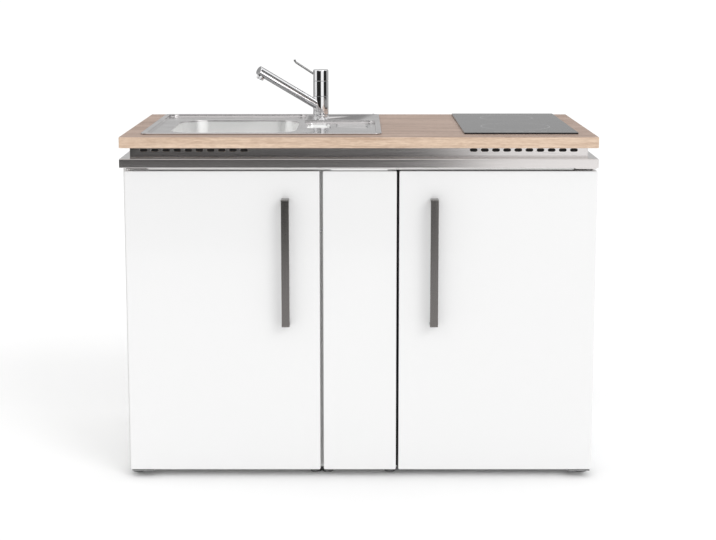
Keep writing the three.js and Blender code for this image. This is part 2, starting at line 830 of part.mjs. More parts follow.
function tapBase() {
  return turned([
    [0, -shankLength],
    [tapCoreRadius, -shankLength],
    [tapCoreRadius, seat],
    [tapFlangeRadius, seat],
    [tapFlangeRadius, 2.5],
    [tapRadius + 1, 4],
    [tapRadius + 1, tapBaseHeight - 1],
    [tapRadius, tapBaseHeight],
    [tapRadius - 1.2, tapBaseHeight + 0.8],
    [tapRadius, tapBaseHeight + 1.6],
    [tapRadius, collarBase],
    [tapCoreRadius, collarBase],
    [tapCoreRadius, headBase + tapHeadHeight / 3],
    [0, headBase + tapHeadHeight / 3],
  ], tap, rimTop);
}

// Nut and washer that clamp the tap to the sink from below.
function tapNut() {
  const top = -sinkSheet - seat;
  return turned([
    [tapCoreRadius + tapClearance, top - 14],
    [tapCoreRadius + 4, top - 14],
    [tapCoreRadius + 4, top - 3],
    [tapHoleRadius + tapWasherReach, top - 3],
    [tapHoleRadius + tapWasherReach, top],
    [tapCoreRadius + tapClearance, top],
  ], tap, rimTop, 20);
}

// Directions of the spout: out along its axis and down through the aerator.
const spoutAngle = Math.atan2(spoutTipHeight - spoutRootHeight, spoutReach);
const spoutHeading = [-Math.cos(THREE.MathUtils.degToRad(spoutTurn)), -Math.sin(THREE.MathUtils.degToRad(spoutTurn))];

// A point beside the spout's axis: `reach` from the tap along the axis, `below` under it.
function spoutPoint(reach, below = 0) {
  const flat = reach * Math.cos(spoutAngle) + below * Math.sin(spoutAngle);
  const z = reach * Math.sin(spoutAngle) - below * Math.cos(spoutAngle);
  return [tap[0] + flat * spoutHeading[0], tap[1] + flat * spoutHeading[1], rimTop + spoutRootHeight + z];
}

function spoutLength() {
  return spoutReach / Math.cos(spoutAngle);
}

function tapSpout() {
  const collar = turned([
    [0, collarBase + tapClearance],
    [tapRadius, collarBase + tapClearance],
    [tapRadius, headBase - 0.8],
    [tapRadius - 0.8, headBase],
    [0, headBase],
  ], tap, rimTop);
  const bore = turned([
    [0, 0],
    [tapCoreRadius + tapClearance, 0],
    [tapCoreRadius + tapClearance, headBase + 1],
    [0, headBase + 1],
  ], tap, rimTop);
  const end = spoutLength();
  const tube = bar(spoutPoint(0), spoutPoint(end - 1), spoutRadius, 20);
  const lip = bar(spoutPoint(end - 2), spoutPoint(end), spoutRadius - 0.8, 20);
  const seatHole = bar(
    spoutPoint(end - aeratorFromTip, spoutRadius - 4),
    spoutPoint(end - aeratorFromTip, spoutRadius + 6),
    aeratorRadius - 3 + tapClearance,
    16,
  );
  return cut(join(collar, tube, lip), bore, seatHole);
}

function tapAerator() {
  const at = spoutLength() - aeratorFromTip;
  const neck = bar(spoutPoint(at, spoutRadius - 3.6), spoutPoint(at, spoutRadius + 3), aeratorRadius - 3, 16);
  const ringBody = bar(
    spoutPoint(at, spoutRadius + tapClearance),
    spoutPoint(at, spoutRadius + aeratorLength),
    aeratorRadius,
    16,
  );
  const mouth = bar(
    spoutPoint(at, spoutRadius + aeratorLength - 3),
    spoutPoint(at, spoutRadius + aeratorLength + 1),
    aeratorRadius - 2,
    16,
  );
  return cut(join(neck, ringBody), mouth);
}

function tapHead() {
  const socket = headBase + tapHeadHeight / 3 + tapClearance;
  return turned([
    [0, socket],
    [tapCoreRadius + tapClearance, socket],
    [tapCoreRadius + tapClearance, headBase + tapClearance],
    [tapRadius - 0.8, headBase + tapClearance],
    [tapRadius, headBase + 1],
    [tapRadius, capBase - 0.8],
    [tapRadius - 0.8, capBase],
    [0, capBase],
  ], tap, rimTop);
}

// Hollow cap over the cartridge, slotted for the lever.
function tapCap() {
  const base = capBase + tapClearance;
  const shell = turned([
    [tapRadius - capWall, base],
    [tapRadius, base],
    [tapRadius, tapTop - 3],
    [tapRadius - 1, tapTop - 1],
    [tapRadius - 3, tapTop],
    [0, tapTop],
    [0, tapTop - capWall],
    [tapRadius - capWall, tapTop - capWall],
    [tapRadius - capWall, base],
  ], tap, rimTop);
  const slot = block(
    [tap[0] - tapRadius - 1, tap[0]],
    [tap[1] - leverSlotWidth / 2, tap[1] + leverSlotWidth / 2],
    [rimTop + leverPivot, rimTop + tapTop + 1],
  );
  return cut(shell, slot);
}

function tapLever() {
  const slope = Math.tan(THREE.MathUtils.degToRad(leverRise));
  const pivot = [...tap, rimTop + leverPivot];
  const knee = [tap[0] - leverReach, tap[1], pivot[2] + leverReach * slope];
  const ball = solid(new THREE.SphereGeometry(leverBall, 8, 6).translate(...pivot));
  const kneeBall = solid(new THREE.SphereGeometry(leverRadius, 8, 4).translate(...knee));
  const tip = [knee[0] - 1, knee[1], knee[2] + leverTipLength];
  return join(ball, bar(pivot, knee, leverRadius, 8), kneeBall, bar(knee, tip, leverRadius, 8));
}

// ---------------------------------------------------------------- hob

function hobGlass() {
  const base = worktopTop + seat;
  return upright(roundedRect(...hobPlace(0), hobCorner), [base, base + hobThickness], {
    bevel: 1, curveSegments: 2,
  });
}

function hobBase() {
  const [x, y] = hobPlace(hobBaseInset);
  const top = worktopTop;
  const inner = (range) => [range[0] + hobSheet, range[1] - hobSheet];
  return cut(
    upright(roundedRect(x, y, hobCorner), [top - hobBaseHeight, top], { curveSegments: 2 }),
    upright(
      roundedRect(inner(x), inner(y), hobCorner - hobSheet),
      [top - hobBaseHeight + hobSheet, top + 1],
      { curveSegments: 2 },
    ),
  );
}

// ---------------------------------------------------------------- cabinets

// Recess for a hinge plate in the top of a cabinet, whose front edge is at `from`.
function plateRecess(x, from) {
  return block(
    x,
    [from - 1, from + plateReach + seat],
    [cabinetTop - plateThickness - seat, cabinetTop + 1],
  );
}

function sideBoard(x0, sinkSide = false) {
  const x = [x0, x0 + boardThickness - seat];
  const board = block(x, [cabinetFront, cabinetBack], [cabinetBottom, cabinetTop]);
  return sinkSide ? cut(board, plateRecess([x[0] - 1, x[1] + 1], cabinetFront)) : board;
}

function floorBoard(x0, width) {
  return block(
    [x0 + boardThickness, x0 + width - boardThickness],
    [cabinetFront, cabinetBack],
    [cabinetBottom, cabinetBottom + boardThickness],
  );
}

// Back of the sink cabinet, open in the middle for the pipes.
function sinkCabinetBack() {
  const x = [sinkUnitLeft + boardThickness, pulloutLeft - boardThickness];
  const z = [cabinetBottom + boardThickness + seat, cabinetTop];
  const panel = block(x, [cabinetBack - boardThickness / 2, cabinetBack], z);
  const window = roundedRect(
    [x[0] + pipeWindowSide, x[1] - pipeWindowSide],
    [z[0] + pipeWindowSill, z[1] - pipeWindowHead],
    pipeWindowRadius,
  );
  return cut(panel, facing(window, [cabinetBack - boardThickness, cabinetBack + 1]));
}

// Peg of the door catch on the front edge of the cabinet side.
function doorCatch() {
  const z = frontTop - catchDrop;
  const x = pulloutLeft - leftDoorGap + 0.6;
  return join(
    bar([x, cabinetFront - seat, z], [x, cabinetFront - 4, z], 3, 12),
    bar([x, cabinetFront - seat, z], [x, cabinetFront - 1.6, z], 4.5, 12),
  );
}

function foot(x, y, pad) {
  return turned([
    [0, 0],
    [pad - 1.5, 0],
    [pad, 1.5],
    [pad, footPadHeight - 1],
    [footStem + 1, footPadHeight + 1],
    [footStem, footTop],
    [0, footTop],
  ], [x, y], 0, 10);
}

// ---------------------------------------------------------------- doors and hinges

function panel([x0, x1], [y0, y1]) {
  const shape = roundedRect([x0, x1], [frontBottom, frontTop], frontCornerRadius);
  return facing(shape, [y0, y1], { bevel: frontEdgeRound, curveSegments: 2 });
}

function pinHoles([x, y]) {
  const radius = pinRadius + bushClearance;
  const deep = pinDepth + 2;
  return [
    bar([x, y, frontTop - deep], [x, y, frontTop + 1], radius, 16),
    bar([x, y, frontBottom - 1], [x, y, frontBottom + deep], radius, 16),
  ];
}

function cabinetDoor() {
  return cut(panel(leftDoor, [face, frontBack]), ...pinHoles(leftPivot));
}

function fridgeDoor() {
  return cut(panel(rightDoor, [face, fridgeDoorBack]), ...pinHoles(rightPivot));
}

// Plate with a pin. `side` is -1 for the left door and 1 for the right one. A lower plate is
// L-shaped, because its front foot stands beside it.
function hingePlate([x, y], side, inner, top) {
  const outer = x + side * (pivotFromEdge - plateInset);
  const far = outer - side * plateWidth;
  const neck = top ? outer : far + side * lowerPlateNeck;
  const shoulder = top ? inner : front + footInset - 1;
  const shape = outline([
    [outer, face, 3], [outer, shoulder, top ? 3 : 1], [neck, shoulder], [neck, inner], [far, inner, 3], [far, face, 3],
  ].filter(([px, py], i, all) => i === 0 || px !== all[i - 1][0] || py !== all[i - 1][1]));
  const z1 = top ? cabinetTop : cabinetBottom - seat;
  const plate = upright(shape, [z1 - plateThickness, z1], { curveSegments: 3 });
  const pin = top
    ? bar([x, y, frontTop - pinDepth], [x, y, z1 - 1], pinRadius, 16)
    : bar([x, y, z1 - 1], [x, y, frontBottom + pinDepth], pinRadius, 16);
  return join(plate, pin);
}

// Flat bar bent back to the door at both ends.
function barHandle(x) {
  const [y0, y1] = [face - handleProud, face - seat];
  const [z0, z1] = [frontTop - handleTopDrop - handleLength, frontTop - handleTopDrop];
  const bow = outline([
    [y1, z0], [y1, z0 + handleBar], [y0 + handleBar, z0 + handleBar, 1], [y0 + handleBar, z1 - handleBar, 1],
    [y1, z1 - handleBar], [y1, z1], [y0, z1, handleBend], [y0, z0, handleBend],
  ]);
  return crosswise(bow, [x - handleWidth / 2, x + handleWidth / 2], { bevel: 0.8, curveSegments: 3 });
}

// ---------------------------------------------------------------- bottle pull-out

const runnerFloor = cabinetBottom + boardThickness + seat;
const runnerMiddle = pulloutLeft + pulloutUnitWidth / 2;

// Lipped channel, drawn in X and Z and open at the top.
function channel(half, base, height, lip) {
  const [x0, x1] = [runnerMiddle - half, runnerMiddle + half];
  const top = base + height;
  const wall = runnerSheet;
  return outline([
    [x0, base], [x1, base], [x1, top], [x1 - lip, top], [x1 - lip, top - wall], [x1 - wall, top - wall],
    [x1 - wall, base + wall], [x0 + wall, base + wall], [x0 + wall, top - wall], [x0 + lip, top - wall],
    [x0 + lip, top], [x0, top],
  ]);
}

const runnerSpan = [cabinetFront + runnerFromFront, cabinetBack - runnerFromBack];
const middleHalf = runnerHalfWidth - runnerSheet - slideClearance;
const middleBase = runnerFloor + runnerSheet + slideClearance;
const middleHeight = runnerHeight - 2 * (runnerSheet + slideClearance);
const sliderHalf = middleHalf - runnerSheet - slideClearance;
const sliderBase = middleBase + runnerSheet + slideClearance;
const sliderFlange = middleHeight - 2 * (runnerSheet + slideClearance);
const frameBase = runnerFloor + runnerHeight + 3;
const frameSpan = [frontBack + seat, cabinetBack - frameFromBack];

function fixedRunner() {
  return facing(channel(runnerHalfWidth, runnerFloor, runnerHeight, runnerLip), runnerSpan);
}

function middleRunner() {
  return facing(channel(middleHalf, middleBase, middleHeight, runnerLip), runnerSpan);
}

// Slider bar that runs in the middle runner and carries the frame.
function sliderBar() {
  const neck = middleHalf - runnerLip - slideClearance;
  const [base, shoulder] = [sliderBase, sliderBase + sliderFlange];
  const m = runnerMiddle;
  return facing(outline([
    [m - sliderHalf, base], [m + sliderHalf, base], [m + sliderHalf, shoulder], [m + neck, shoulder],
    [m + neck, frameBase + 1], [m - neck, frameBase + 1], [m - neck, shoulder], [m - sliderHalf, shoulder],
  ]), runnerSpan);
}

// Cradle: a base sheet with a windowed upright at the front and a lower one at the rear.
function pulloutFrame() {
  const x = [runnerMiddle - frameWidth / 2, runnerMiddle + frameWidth / 2];
  const y = frameSpan;
  const end = (height, from) => {
    const z = [frameBase, frameBase + height];
    const sheet = roundedRect(x, z, 6);
    sheet.holes.push(roundedRect(
      [x[0] + frameWindow, x[1] - frameWindow],
      [z[0] + frameWindow * 2, z[1] - frameWindow],
      10,
    ));
    return facing(sheet, [from, from + frameSheet], { curveSegments: 2 });
  };
  const ledge = (from, to) => block(x, [from, to], [ledgeTop - frameSheet, ledgeTop]);
  return join(
    sliderBar(),
    block(x, y, [frameBase, frameBase + frameSheet]),
    end(frontTop - frameTopDrop - frameBase, y[0]),
    end(frameRearHeight, y[1] - frameSheet),
    ledge(y[0], y[0] + 14),
    ledge(y[1] - 14, y[1]),
  );
}

const ledgeTop = frameBase + upperBasketLift;

// Sheet basket with slotted long sides.
function basket(base) {
  const x = [runnerMiddle - frameWidth / 2, runnerMiddle + frameWidth / 2];
  const margin = frameSheet + seat;
  const y = [frameSpan[0] + margin, frameSpan[1] - margin];
  const shell = (wall) => {
    const inner = (range) => [range[0] + wall, range[1] - wall];
    return upright(
      roundedRect(inner(x), inner(y), basketRadius - wall),
      [base + wall, base + basketHeight + (wall > 0 ? 1 : 0)],
      { curveSegments: 2 },
    );
  };
  const pitch = (y[1] - y[0] - 2 * basketRadius) / basketSlots;
  const slots = [];
  for (let i = 0; i < basketSlots; i += 1) {
    const middle = y[0] + basketRadius + (i + 0.5) * pitch;
    const slot = roundedRect(
      [middle - pitch * 0.36, middle + pitch * 0.36],
      [base + basketHeight * 0.3, base + basketHeight * 0.75],
      8,
    );
    slots.push(crosswise(slot, [x[0] - 1, x[1] + 1], { curveSegments: 1 }));
  }
  return cut(shell(0), shell(basketWall), ...slots);
}

// ---------------------------------------------------------------- refrigerator

function fridgeBody() {
  const base = cabinetBottom;
  const body = block(fridge, [fridgeFront, fridgeBack], [base, cabinetTop]);
  const floor = base + nicheFloor + fridgeWall / 2;
  const step = base + nicheFloor + nicheHeight + fridgeWall;
  const stepFront = fridgeBack - nicheDepth - fridgeWall;
  const roof = cabinetTop - fridgeWall;
  const radius = 14;
  const hollow = crosswise(outline([
    [fridgeFront - 1, floor], [stepFront, floor, radius], [stepFront, step, radius],
    [fridgeBack - fridgeWall, step, radius], [fridgeBack - fridgeWall, roof, radius], [fridgeFront - 1, roof],
  ]), cavity, { curveSegments: 3 });
  const niche = block(
    [fridge[0] + fridgeWall / 2, fridge[1] - fridgeWall / 2],
    [fridgeBack - nicheDepth, fridgeBack + 1],
    [base + nicheFloor, base + nicheFloor + nicheHeight],
  );
  const ledges = [lowerShelfLevel, upperShelfLevel].flatMap((z) => [
    [cavity[0] - 1, cavity[0] + shelfLedge],
    [cavity[1] - shelfLedge, cavity[1] + 1],
  ].map((x) => block(x, [fridgeFront + 50, fridgeBack - fridgeWall - 20], [z - 5, z])));
  return join(
    cut(body, hollow, niche, plateRecess([fridge[1] - plateWidth, fridge[1] + 1], fridgeFront)),
    ...ledges,
    thermostatHousing(),
  );
}

// Housing under the roof of the cavity, with the thermostat's shaft at its front.
function thermostatHousing() {
  const [x, y, z] = knobAt;
  const top = cabinetTop - fridgeWall + 1;
  const half = housingWidth / 2;
  const side = outline([
    [y, z - knobRadius - 5, 4], [y + housingDepth - 10, z - 8, 4], [y + housingDepth, top], [y, top],
  ]);
  return join(
    crosswise(side, [x - half, x + half], { curveSegments: 2 }),
    bar([x, y + 2, z], [x, y - 8, z], 3, 10),
  );
}

// Ribbed knob with a pointer, bored for the shaft.
function thermostatKnob() {
  const [x, y, z] = knobAt;
  const ribs = [];
  for (let i = 0; i < 8; i += 1) {
    const angle = (i / 8) * 2 * Math.PI;
    const at = [x + knobRadius * Math.cos(angle), z + knobRadius * Math.sin(angle)];
    ribs.push(bar([at[0], y - 1, at[1]], [at[0], y - knobLength, at[1]], 2, 6));
  }
  return cut(
    join(bar([x, y - 1, z], [x, y - knobLength, z], knobRadius, 16), ...ribs),
    bar([x, y, z], [x, y - 9, z], 3 + tapClearance, 10),
  );
}

function fridgeShelf(level) {
  const shelf = [cavity[0] + 1, cavity[1] - 1];
  const y = [fridgeFront + shelfFromFront, fridgeBack - fridgeWall - shelfFromBack];
  const plate = upright(roundedRect(shelf, y, 6), [level + seat, level + seat + shelfThickness], { curveSegments: 2 });
  const trim = bar([shelf[0] + 8, y[0] + 3, level + 6], [shelf[1] - 8, y[0] + 3, level + 6], 6, 10);
  return join(plate, trim);
}

function doorLiner() {
  const x = [rightDoor[0] + 16, rightDoor[1] - 16];
  const z = [frontBottom + 16, frontTop - 16];
  const dyke = (x0) => facing(
    roundedRect([x0, x0 + dykeWidth], [z[0] + 40, z[1] - 40], 5),
    [linerBack - 1, linerBack + dykeDepth],
    { curveSegments: 1 },
  );
  return join(
    facing(roundedRect(x, z, 10), [fridgeDoorBack + seat, linerBack], { curveSegments: 3 }),
    dyke(rightDoor[0] + dykeInset),
    dyke(rightDoor[1] - dykeInset - dykeWidth),
  );
}

function doorGasket() {
  const x = [rightDoor[0] + 20, rightDoor[1] - 20];
  const z = [frontBottom + 20, frontTop - 20];
  const shape = roundedRect(x, z, 10);
  const inner = (range) => [range[0] + gasketWidth, range[1] - gasketWidth];
  shape.holes.push(roundedRect(inner(x), inner(z), 4));
  return facing(shape, [linerBack + seat, linerBack + seat + gasketThickness], { curveSegments: 2 });
}

// Open-topped rack between the dykes of the door.
function doorRack(level) {
  const margin = dykeInset + dykeWidth + seat;
  const x = [rightDoor[0] + margin, rightDoor[1] - margin];
  const y = [linerBack + seat, linerBack + rackDepth];
  const z = [frontBottom + level, frontBottom + level + rackHeight];
  const inner = (range) => [range[0] + rackWall, range[1] - rackWall];
  const rack = upright(roundedRect(x, y, 12), z, { curveSegments: 2 });
  const hollow = upright(roundedRect(inner(x), inner(y), 9), [z[0] + rackWall, z[1] + 1], { curveSegments: 2 });
  const lowFront = crosswise(outline([
    [y[0] - 1, z[1] + 1], [y[0] + 30, z[1] + 1], [y[1] - 30, z[1] - 22, 8], [y[1] + 1, z[1] - 22], [y[1] + 1, z[1] + 2],
  ]), [x[0] - 1, x[1] + 1], { curveSegments: 3 });
  return cut(rack, hollow, lowFront);
}

// Condenser behind the body: tube runs joined by bends, crossed by wires, on two straps.
function condenser() {
  const middle = (fridge[0] + fridge[1]) / 2;
  const half = (fridge[1] - fridge[0]) / 2 - condenserMargin;
  const y = fridgeBack + 10;
  const low = cabinetBottom + nicheFloor + nicheHeight + condenserSill;
  const high = low + (condenserTubes - 1) * condenserPitch;
  const pieces = [];
  for (let i = 0; i < condenserTubes; i += 1) {
    const z = low + i * condenserPitch;
    pieces.push(bar([middle - half, y, z], [middle + half, y, z], condenserTube, 6));
    if (i === condenserTubes - 1) break;
    const side = i % 2 === 0 ? 1 : -1;
    const bend = new THREE.TorusGeometry(condenserPitch / 2, condenserTube, 6, 8).rotateX(Math.PI / 2);
    const whole = solid(bend.translate(middle + side * half, y, z + condenserPitch / 2));
    const away = block(
      side > 0 ? [middle, middle + half] : [middle - half, middle],
      [y - 10, y + 10],
      [z - 10, z + condenserPitch + 10],
    );
    pieces.push(cut(whole, away));
  }
  for (let i = 0; i < condenserWires; i += 1) {
    const x = middle - half + 20 + i * (2 * half - 40) / (condenserWires - 1);
    pieces.push(bar([x, y + condenserTube, low - 12], [x, y + condenserTube, high + 12], 1.2, 4));
  }
  for (const x of [middle - half * 0.8, middle + half * 0.8]) {
    pieces.push(block([x - 7, x + 7], [fridgeBack + seat, y - 1], [low - 16, high + 16]));
  }
  return join(...pieces);
}

function compressor() {
  const x = (fridge[0] + fridge[1]) / 2 + 60;
  const y = fridgeBack - nicheDepth / 2;
  const base = cabinetBottom + nicheFloor + seat;
  const [r, h] = [compressorRadius, compressorHeight];
  const seam = 4; // reach of the welded seam
  const shell = turned([
    [0, h * 0.09], [r * 0.75, h * 0.09], [r * 0.97, h * 0.19], [r, h * 0.44], [r + seam, h * 0.46],
    [r + seam, h * 0.49], [r, h * 0.51], [r * 0.94, h * 0.74], [r * 0.72, h * 0.91], [r * 0.34, h * 0.985], [0, h],
  ], [x, y], base, 14);
  const [halfX, halfY] = [r * 1.28, r * 0.78];
  const plate = upright(
    roundedRect([x - halfX, x + halfX], [y - halfY, y + halfY], 14),
    [base, base + steelSheet * 2],
    { curveSegments: 3 },
  );
  const mounts = [-1, 1].flatMap((sx) => [-1, 1].map((sy) => [x + sx * r * 0.6, y + sy * r * 0.4]));
  const pillar = ([px, py]) => bar([px, py, base + steelSheet], [px, py, base + h * 0.22], 9, 8);
  return join(shell, plate, ...mounts.map(pillar));
}

// ---------------------------------------------------------------- the unit

place('worktop', worktopBoard(), oak);
place('steel_surround', steelSurround(), steel);
place('rear_rail', rearRail(), steel);
place('sink', sinkBody(), steel);
place('sink_waste', sinkWaste(), steel);
place('sink_strainer', sinkStrainer(), steel);
place('bottle_trap', bottleTrap(), whitePlastic);
place('tap_base', tapBase(), chrome);
place('tap_nut', tapNut(), chrome);
place('tap_spout', tapSpout(), chrome);
place('tap_aerator', tapAerator(), chrome);
place('tap_head', tapHead(), chrome);
place('tap_cap', tapCap(), chrome);
place('tap_lever', tapLever(), chrome);
place('hob_glass', hobGlass(), blackGlass);
place('hob_base', hobBase(), blackEnamel);

place('sink_cabinet_left_side', sideBoard(sinkUnitLeft, true), whiteBoard);
place('sink_cabinet_right_side', sideBoard(pulloutLeft - boardThickness), whiteBoard);
place('sink_cabinet_floor', floorBoard(sinkUnitLeft, sinkUnitWidth), whiteBoard);
place('sink_cabinet_back', sinkCabinetBack(), whiteBoard);
place('pullout_cabinet_left_side', sideBoard(pulloutLeft), whiteBoard);
place('pullout_cabinet_right_side', sideBoard(fridgeLeft - boardThickness), whiteBoard);
place('pullout_cabinet_floor', floorBoard(pulloutLeft, pulloutUnitWidth), whiteBoard);
place('door_catch', doorCatch(), chrome);

place('left_door', cabinetDoor(), whiteGloss);
place('left_handle', barHandle(leftDoor[1] - handleFromEdge), steel);
place('left_top_hinge_plate', hingePlate(leftPivot, -1, cabinetFront + plateReach, true), steel);
place('left_bottom_hinge_plate', hingePlate(leftPivot, -1, cabinetFront + plateReach, false), steel);

place('right_door', fridgeDoor(), whiteGloss);
place('right_handle', barHandle(rightDoor[0] + rightHandleFromEdge), steel);
place('right_top_hinge_plate', hingePlate(rightPivot, 1, fridgeFront + plateReach, true), steel);
place('right_bottom_hinge_plate', hingePlate(rightPivot, 1, fridgeFront + plateReach, false), steel);
place('right_door_liner', doorLiner(), whitePlastic);
place('right_door_gasket', doorGasket(), rubber);
place('door_rack_lower', doorRack(lowerRackLevel), clearPlastic);
place('door_rack_upper', doorRack(lowerShelfLevel + rackAboveShelf), clearPlastic);

place('pullout_front', panel(pulloutFront, [face, frontBack]), whiteGloss);
place('runner_fixed', fixedRunner(), steel);
place('runner_middle', middleRunner(), steel);
place('pullout_frame', pulloutFrame(), steel);
place('basket_lower', basket(frameBase + frameSheet + seat), steel);
place('basket_upper', basket(ledgeTop + seat), steel);

place('fridge_body', fridgeBody(), whitePlastic);
place('fridge_shelf_lower', fridgeShelf(lowerShelfLevel), clearPlastic);
place('fridge_shelf_upper', fridgeShelf(upperShelfLevel), clearPlastic);
place('thermostat_knob', thermostatKnob(), greyPlastic);
place('condenser', condenser(), blackEnamel);
place('compressor', compressor(), blackEnamel);

const frontFeet = front + footInset;
const rearFeet = back - footRearInset;
const feet = {
  sink_left: [sinkUnitLeft + footFromSide, footPad, 0],
  sink_right: [pulloutLeft - footPad, footNarrowPad, 0],
  pullout_left: [pulloutLeft + footNarrowPad - 1, footNarrowPad, 0],
  pullout_right: [fridgeLeft - footFromSide, footNarrowPad, 0],
  fridge_left: [fridge[0] + footWidePad, footWidePad, fridgeFootInset],
  fridge_right: [right - footWidePad, footWidePad, 0],
};
for (const [name, [x, pad, inset]] of Object.entries(feet)) {
  place(`foot_${name}_front`, foot(x, frontFeet + pad + inset, pad), blackEnamel);
  place(`foot_${name}_rear`, foot(x, rearFeet, pad), blackEnamel);
}

export default kitchenette;
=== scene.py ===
"""Kitchenette unit with an inset sink, a mixer tap, a glass hob and three white fronts.

The packed parts are the fixed frame. This script gives them their finishes, models the pieces that
need a finer surface, and sets them in a plain white studio.
"""

import json
import math

import bmesh
import bpy
from bpy.props import FloatProperty, FloatVectorProperty, PointerProperty
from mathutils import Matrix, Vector

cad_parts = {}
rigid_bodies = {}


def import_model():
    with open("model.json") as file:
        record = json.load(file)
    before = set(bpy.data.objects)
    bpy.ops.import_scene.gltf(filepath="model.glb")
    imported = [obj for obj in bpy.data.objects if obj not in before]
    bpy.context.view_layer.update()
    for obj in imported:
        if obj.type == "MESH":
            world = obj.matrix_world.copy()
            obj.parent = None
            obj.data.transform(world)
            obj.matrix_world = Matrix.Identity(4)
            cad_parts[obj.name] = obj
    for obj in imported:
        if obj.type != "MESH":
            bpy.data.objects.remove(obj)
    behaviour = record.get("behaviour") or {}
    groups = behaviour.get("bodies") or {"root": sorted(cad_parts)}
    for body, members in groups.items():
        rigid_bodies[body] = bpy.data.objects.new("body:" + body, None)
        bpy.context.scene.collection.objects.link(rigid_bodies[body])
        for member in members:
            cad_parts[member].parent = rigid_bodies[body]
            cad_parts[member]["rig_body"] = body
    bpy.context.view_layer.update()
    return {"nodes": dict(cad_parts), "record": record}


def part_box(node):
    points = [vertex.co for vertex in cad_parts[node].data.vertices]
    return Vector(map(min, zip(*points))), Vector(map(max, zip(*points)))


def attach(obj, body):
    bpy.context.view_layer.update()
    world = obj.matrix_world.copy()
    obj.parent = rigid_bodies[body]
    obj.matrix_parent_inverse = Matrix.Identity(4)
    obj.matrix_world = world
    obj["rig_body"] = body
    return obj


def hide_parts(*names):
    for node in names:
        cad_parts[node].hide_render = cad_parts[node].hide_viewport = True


bl_info = {
    "name": "Kitchenette Unit",
    "version": (1, 0, 0),
    "blender": (4, 5, 0),
    "location": "View3D > Sidebar > Kitchenette",
    "description": "Dresses the parts of a kitchenette unit and sets them in a white studio",
    "category": "Object",
}

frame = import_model()
NODES = frame["nodes"]
MM = 0.001
SORT_FROM = (-7.31, -4.57, -3.19)  # a point off every plane of symmetry, in metres
CREASE = 35  # degrees between two faces, from which their edge is shaded sharp
DOME_STEPS, DOME_TURN = 4, 80  # steps and degrees of a bar's rounded end
GAP = 0.3  # millimetres between pieces of different parts

# The sink's pressings and the tap, in millimetres
SINK_RIM = 14
SINK_CORNER = 18
SINK_SHEET = 1.2
SINK_FLANGE = 3.3
RECESS = 6
BOWL_DEPTH = 150
DISH_DEPTH, TRAY_DEPTH = 3, 12  # under the bowl's floor, and under the recess
BOWL_X, BOWL_Y = (-494, -162), (-174, 163)
BOWL_END, DRAINER_START, DRAINER_BACK = -148, -419, 97  # of the two recesses, which overlap
TRAY_X, TRAY_Y = (-140, -77), (-52, 91)
TRAY_MIDDLE = (sum(TRAY_X) / 2, sum(TRAY_Y) / 2)
GROOVES_X, GROOVE_GAPS = (-61, 23), (22, 44)  # the gaps at their two ends
DRAIN = (-328, -5.5)
TAP = (-105, 125)
TAP_HOLE, OVERFLOW_HOLE = 17.5, 9
TAP_CORE = 14  # radius of the column inside the tap
SPOUT_REACH = 190
SPOUT_ROOT, SPOUT_TIP = 34, 142  # heights of its axis over the deck
SPOUT_TURN = 30  # degrees to the front
LEVER_RADIUS = 3
WASTE_CUP, WASTE_TAIL, TRAP_HEIGHT = 40, 60, 115
LEVER_SLOT = 7.4

# The hinges and the steel surround
HINGE_PLATE = 3  # its thickness
RISER_SETBACK, RISER_SIDE, SURROUND_SHEET = 37, 22, 1.5
LEDGE = 830  # its height
VENT_X, VENT_Z = (276, 556), (842, 855)

# ---- settings


def colour(label, note, value):
    """A colour that the user can change, in linear light."""
    return FloatVectorProperty(
        name=label, description=note, default=value, size=3, min=0, max=1, subtype="COLOR"
    )


def length(label, note, value):
    """A size that the user can change, in metres."""
    return FloatProperty(
        name=label, description=note, default=value, min=0, unit="LENGTH", subtype="DISTANCE"
    )


def amount(label, note, value, most=1):
    """A plain number that the user can change."""
    return FloatProperty(name=label, description=note, default=value, min=0, max=most)


class StudioSettings(bpy.types.PropertyGroup):
    """Floor, light and camera."""

    floor_colour: colour("Floor", "Colour of the studio floor", (0.985, 0.985, 0.985))
    floor_width: length("Floor width", "Width of the floor", 14)
    floor_front: length("Floor front", "How far the floor reaches in front of the unit", 3.4)
    floor_back: length("Floor back", "How far the floor reaches behind the unit", 7)
    ambient: amount("Ambient", "Light from all round", 0.98, 5)
    key_strength: amount("Key light", "Strength of the soft key light from the right", 0.6, 20)
    camera_distance: length("Distance", "Camera to the middle of the unit", 3.93)
    camera_height: length("Height", "Camera above the floor", 1.29)
    camera_pitch: FloatProperty(
        name="Pitch", description="Camera's tilt down", default=math.radians(8.18), subtype="ANGLE"
    )
    lens: FloatProperty(name="Lens", description="Focal length", default=73.8, unit="CAMERA")


class WoodSettings(bpy.types.PropertyGroup):
    """Oak laminate of the worktop."""

    light: colour("Light edge grain", "Light grain of the edge band", (0.78, 0.61, 0.47))
    dark: colour("Dark edge grain", "Dark grain of the edge band", (0.44, 0.295, 0.205))
    # The top's grain colours are painted shade: darker than the edge band's, for the top of the
    # worktop.
    top_light_shaded: colour("Light top grain", "Light grain of the top", (0.62, 0.47, 0.39))
    top_dark_shaded: colour("Dark top grain", "Dark grain of the top", (0.28, 0.19, 0.145))


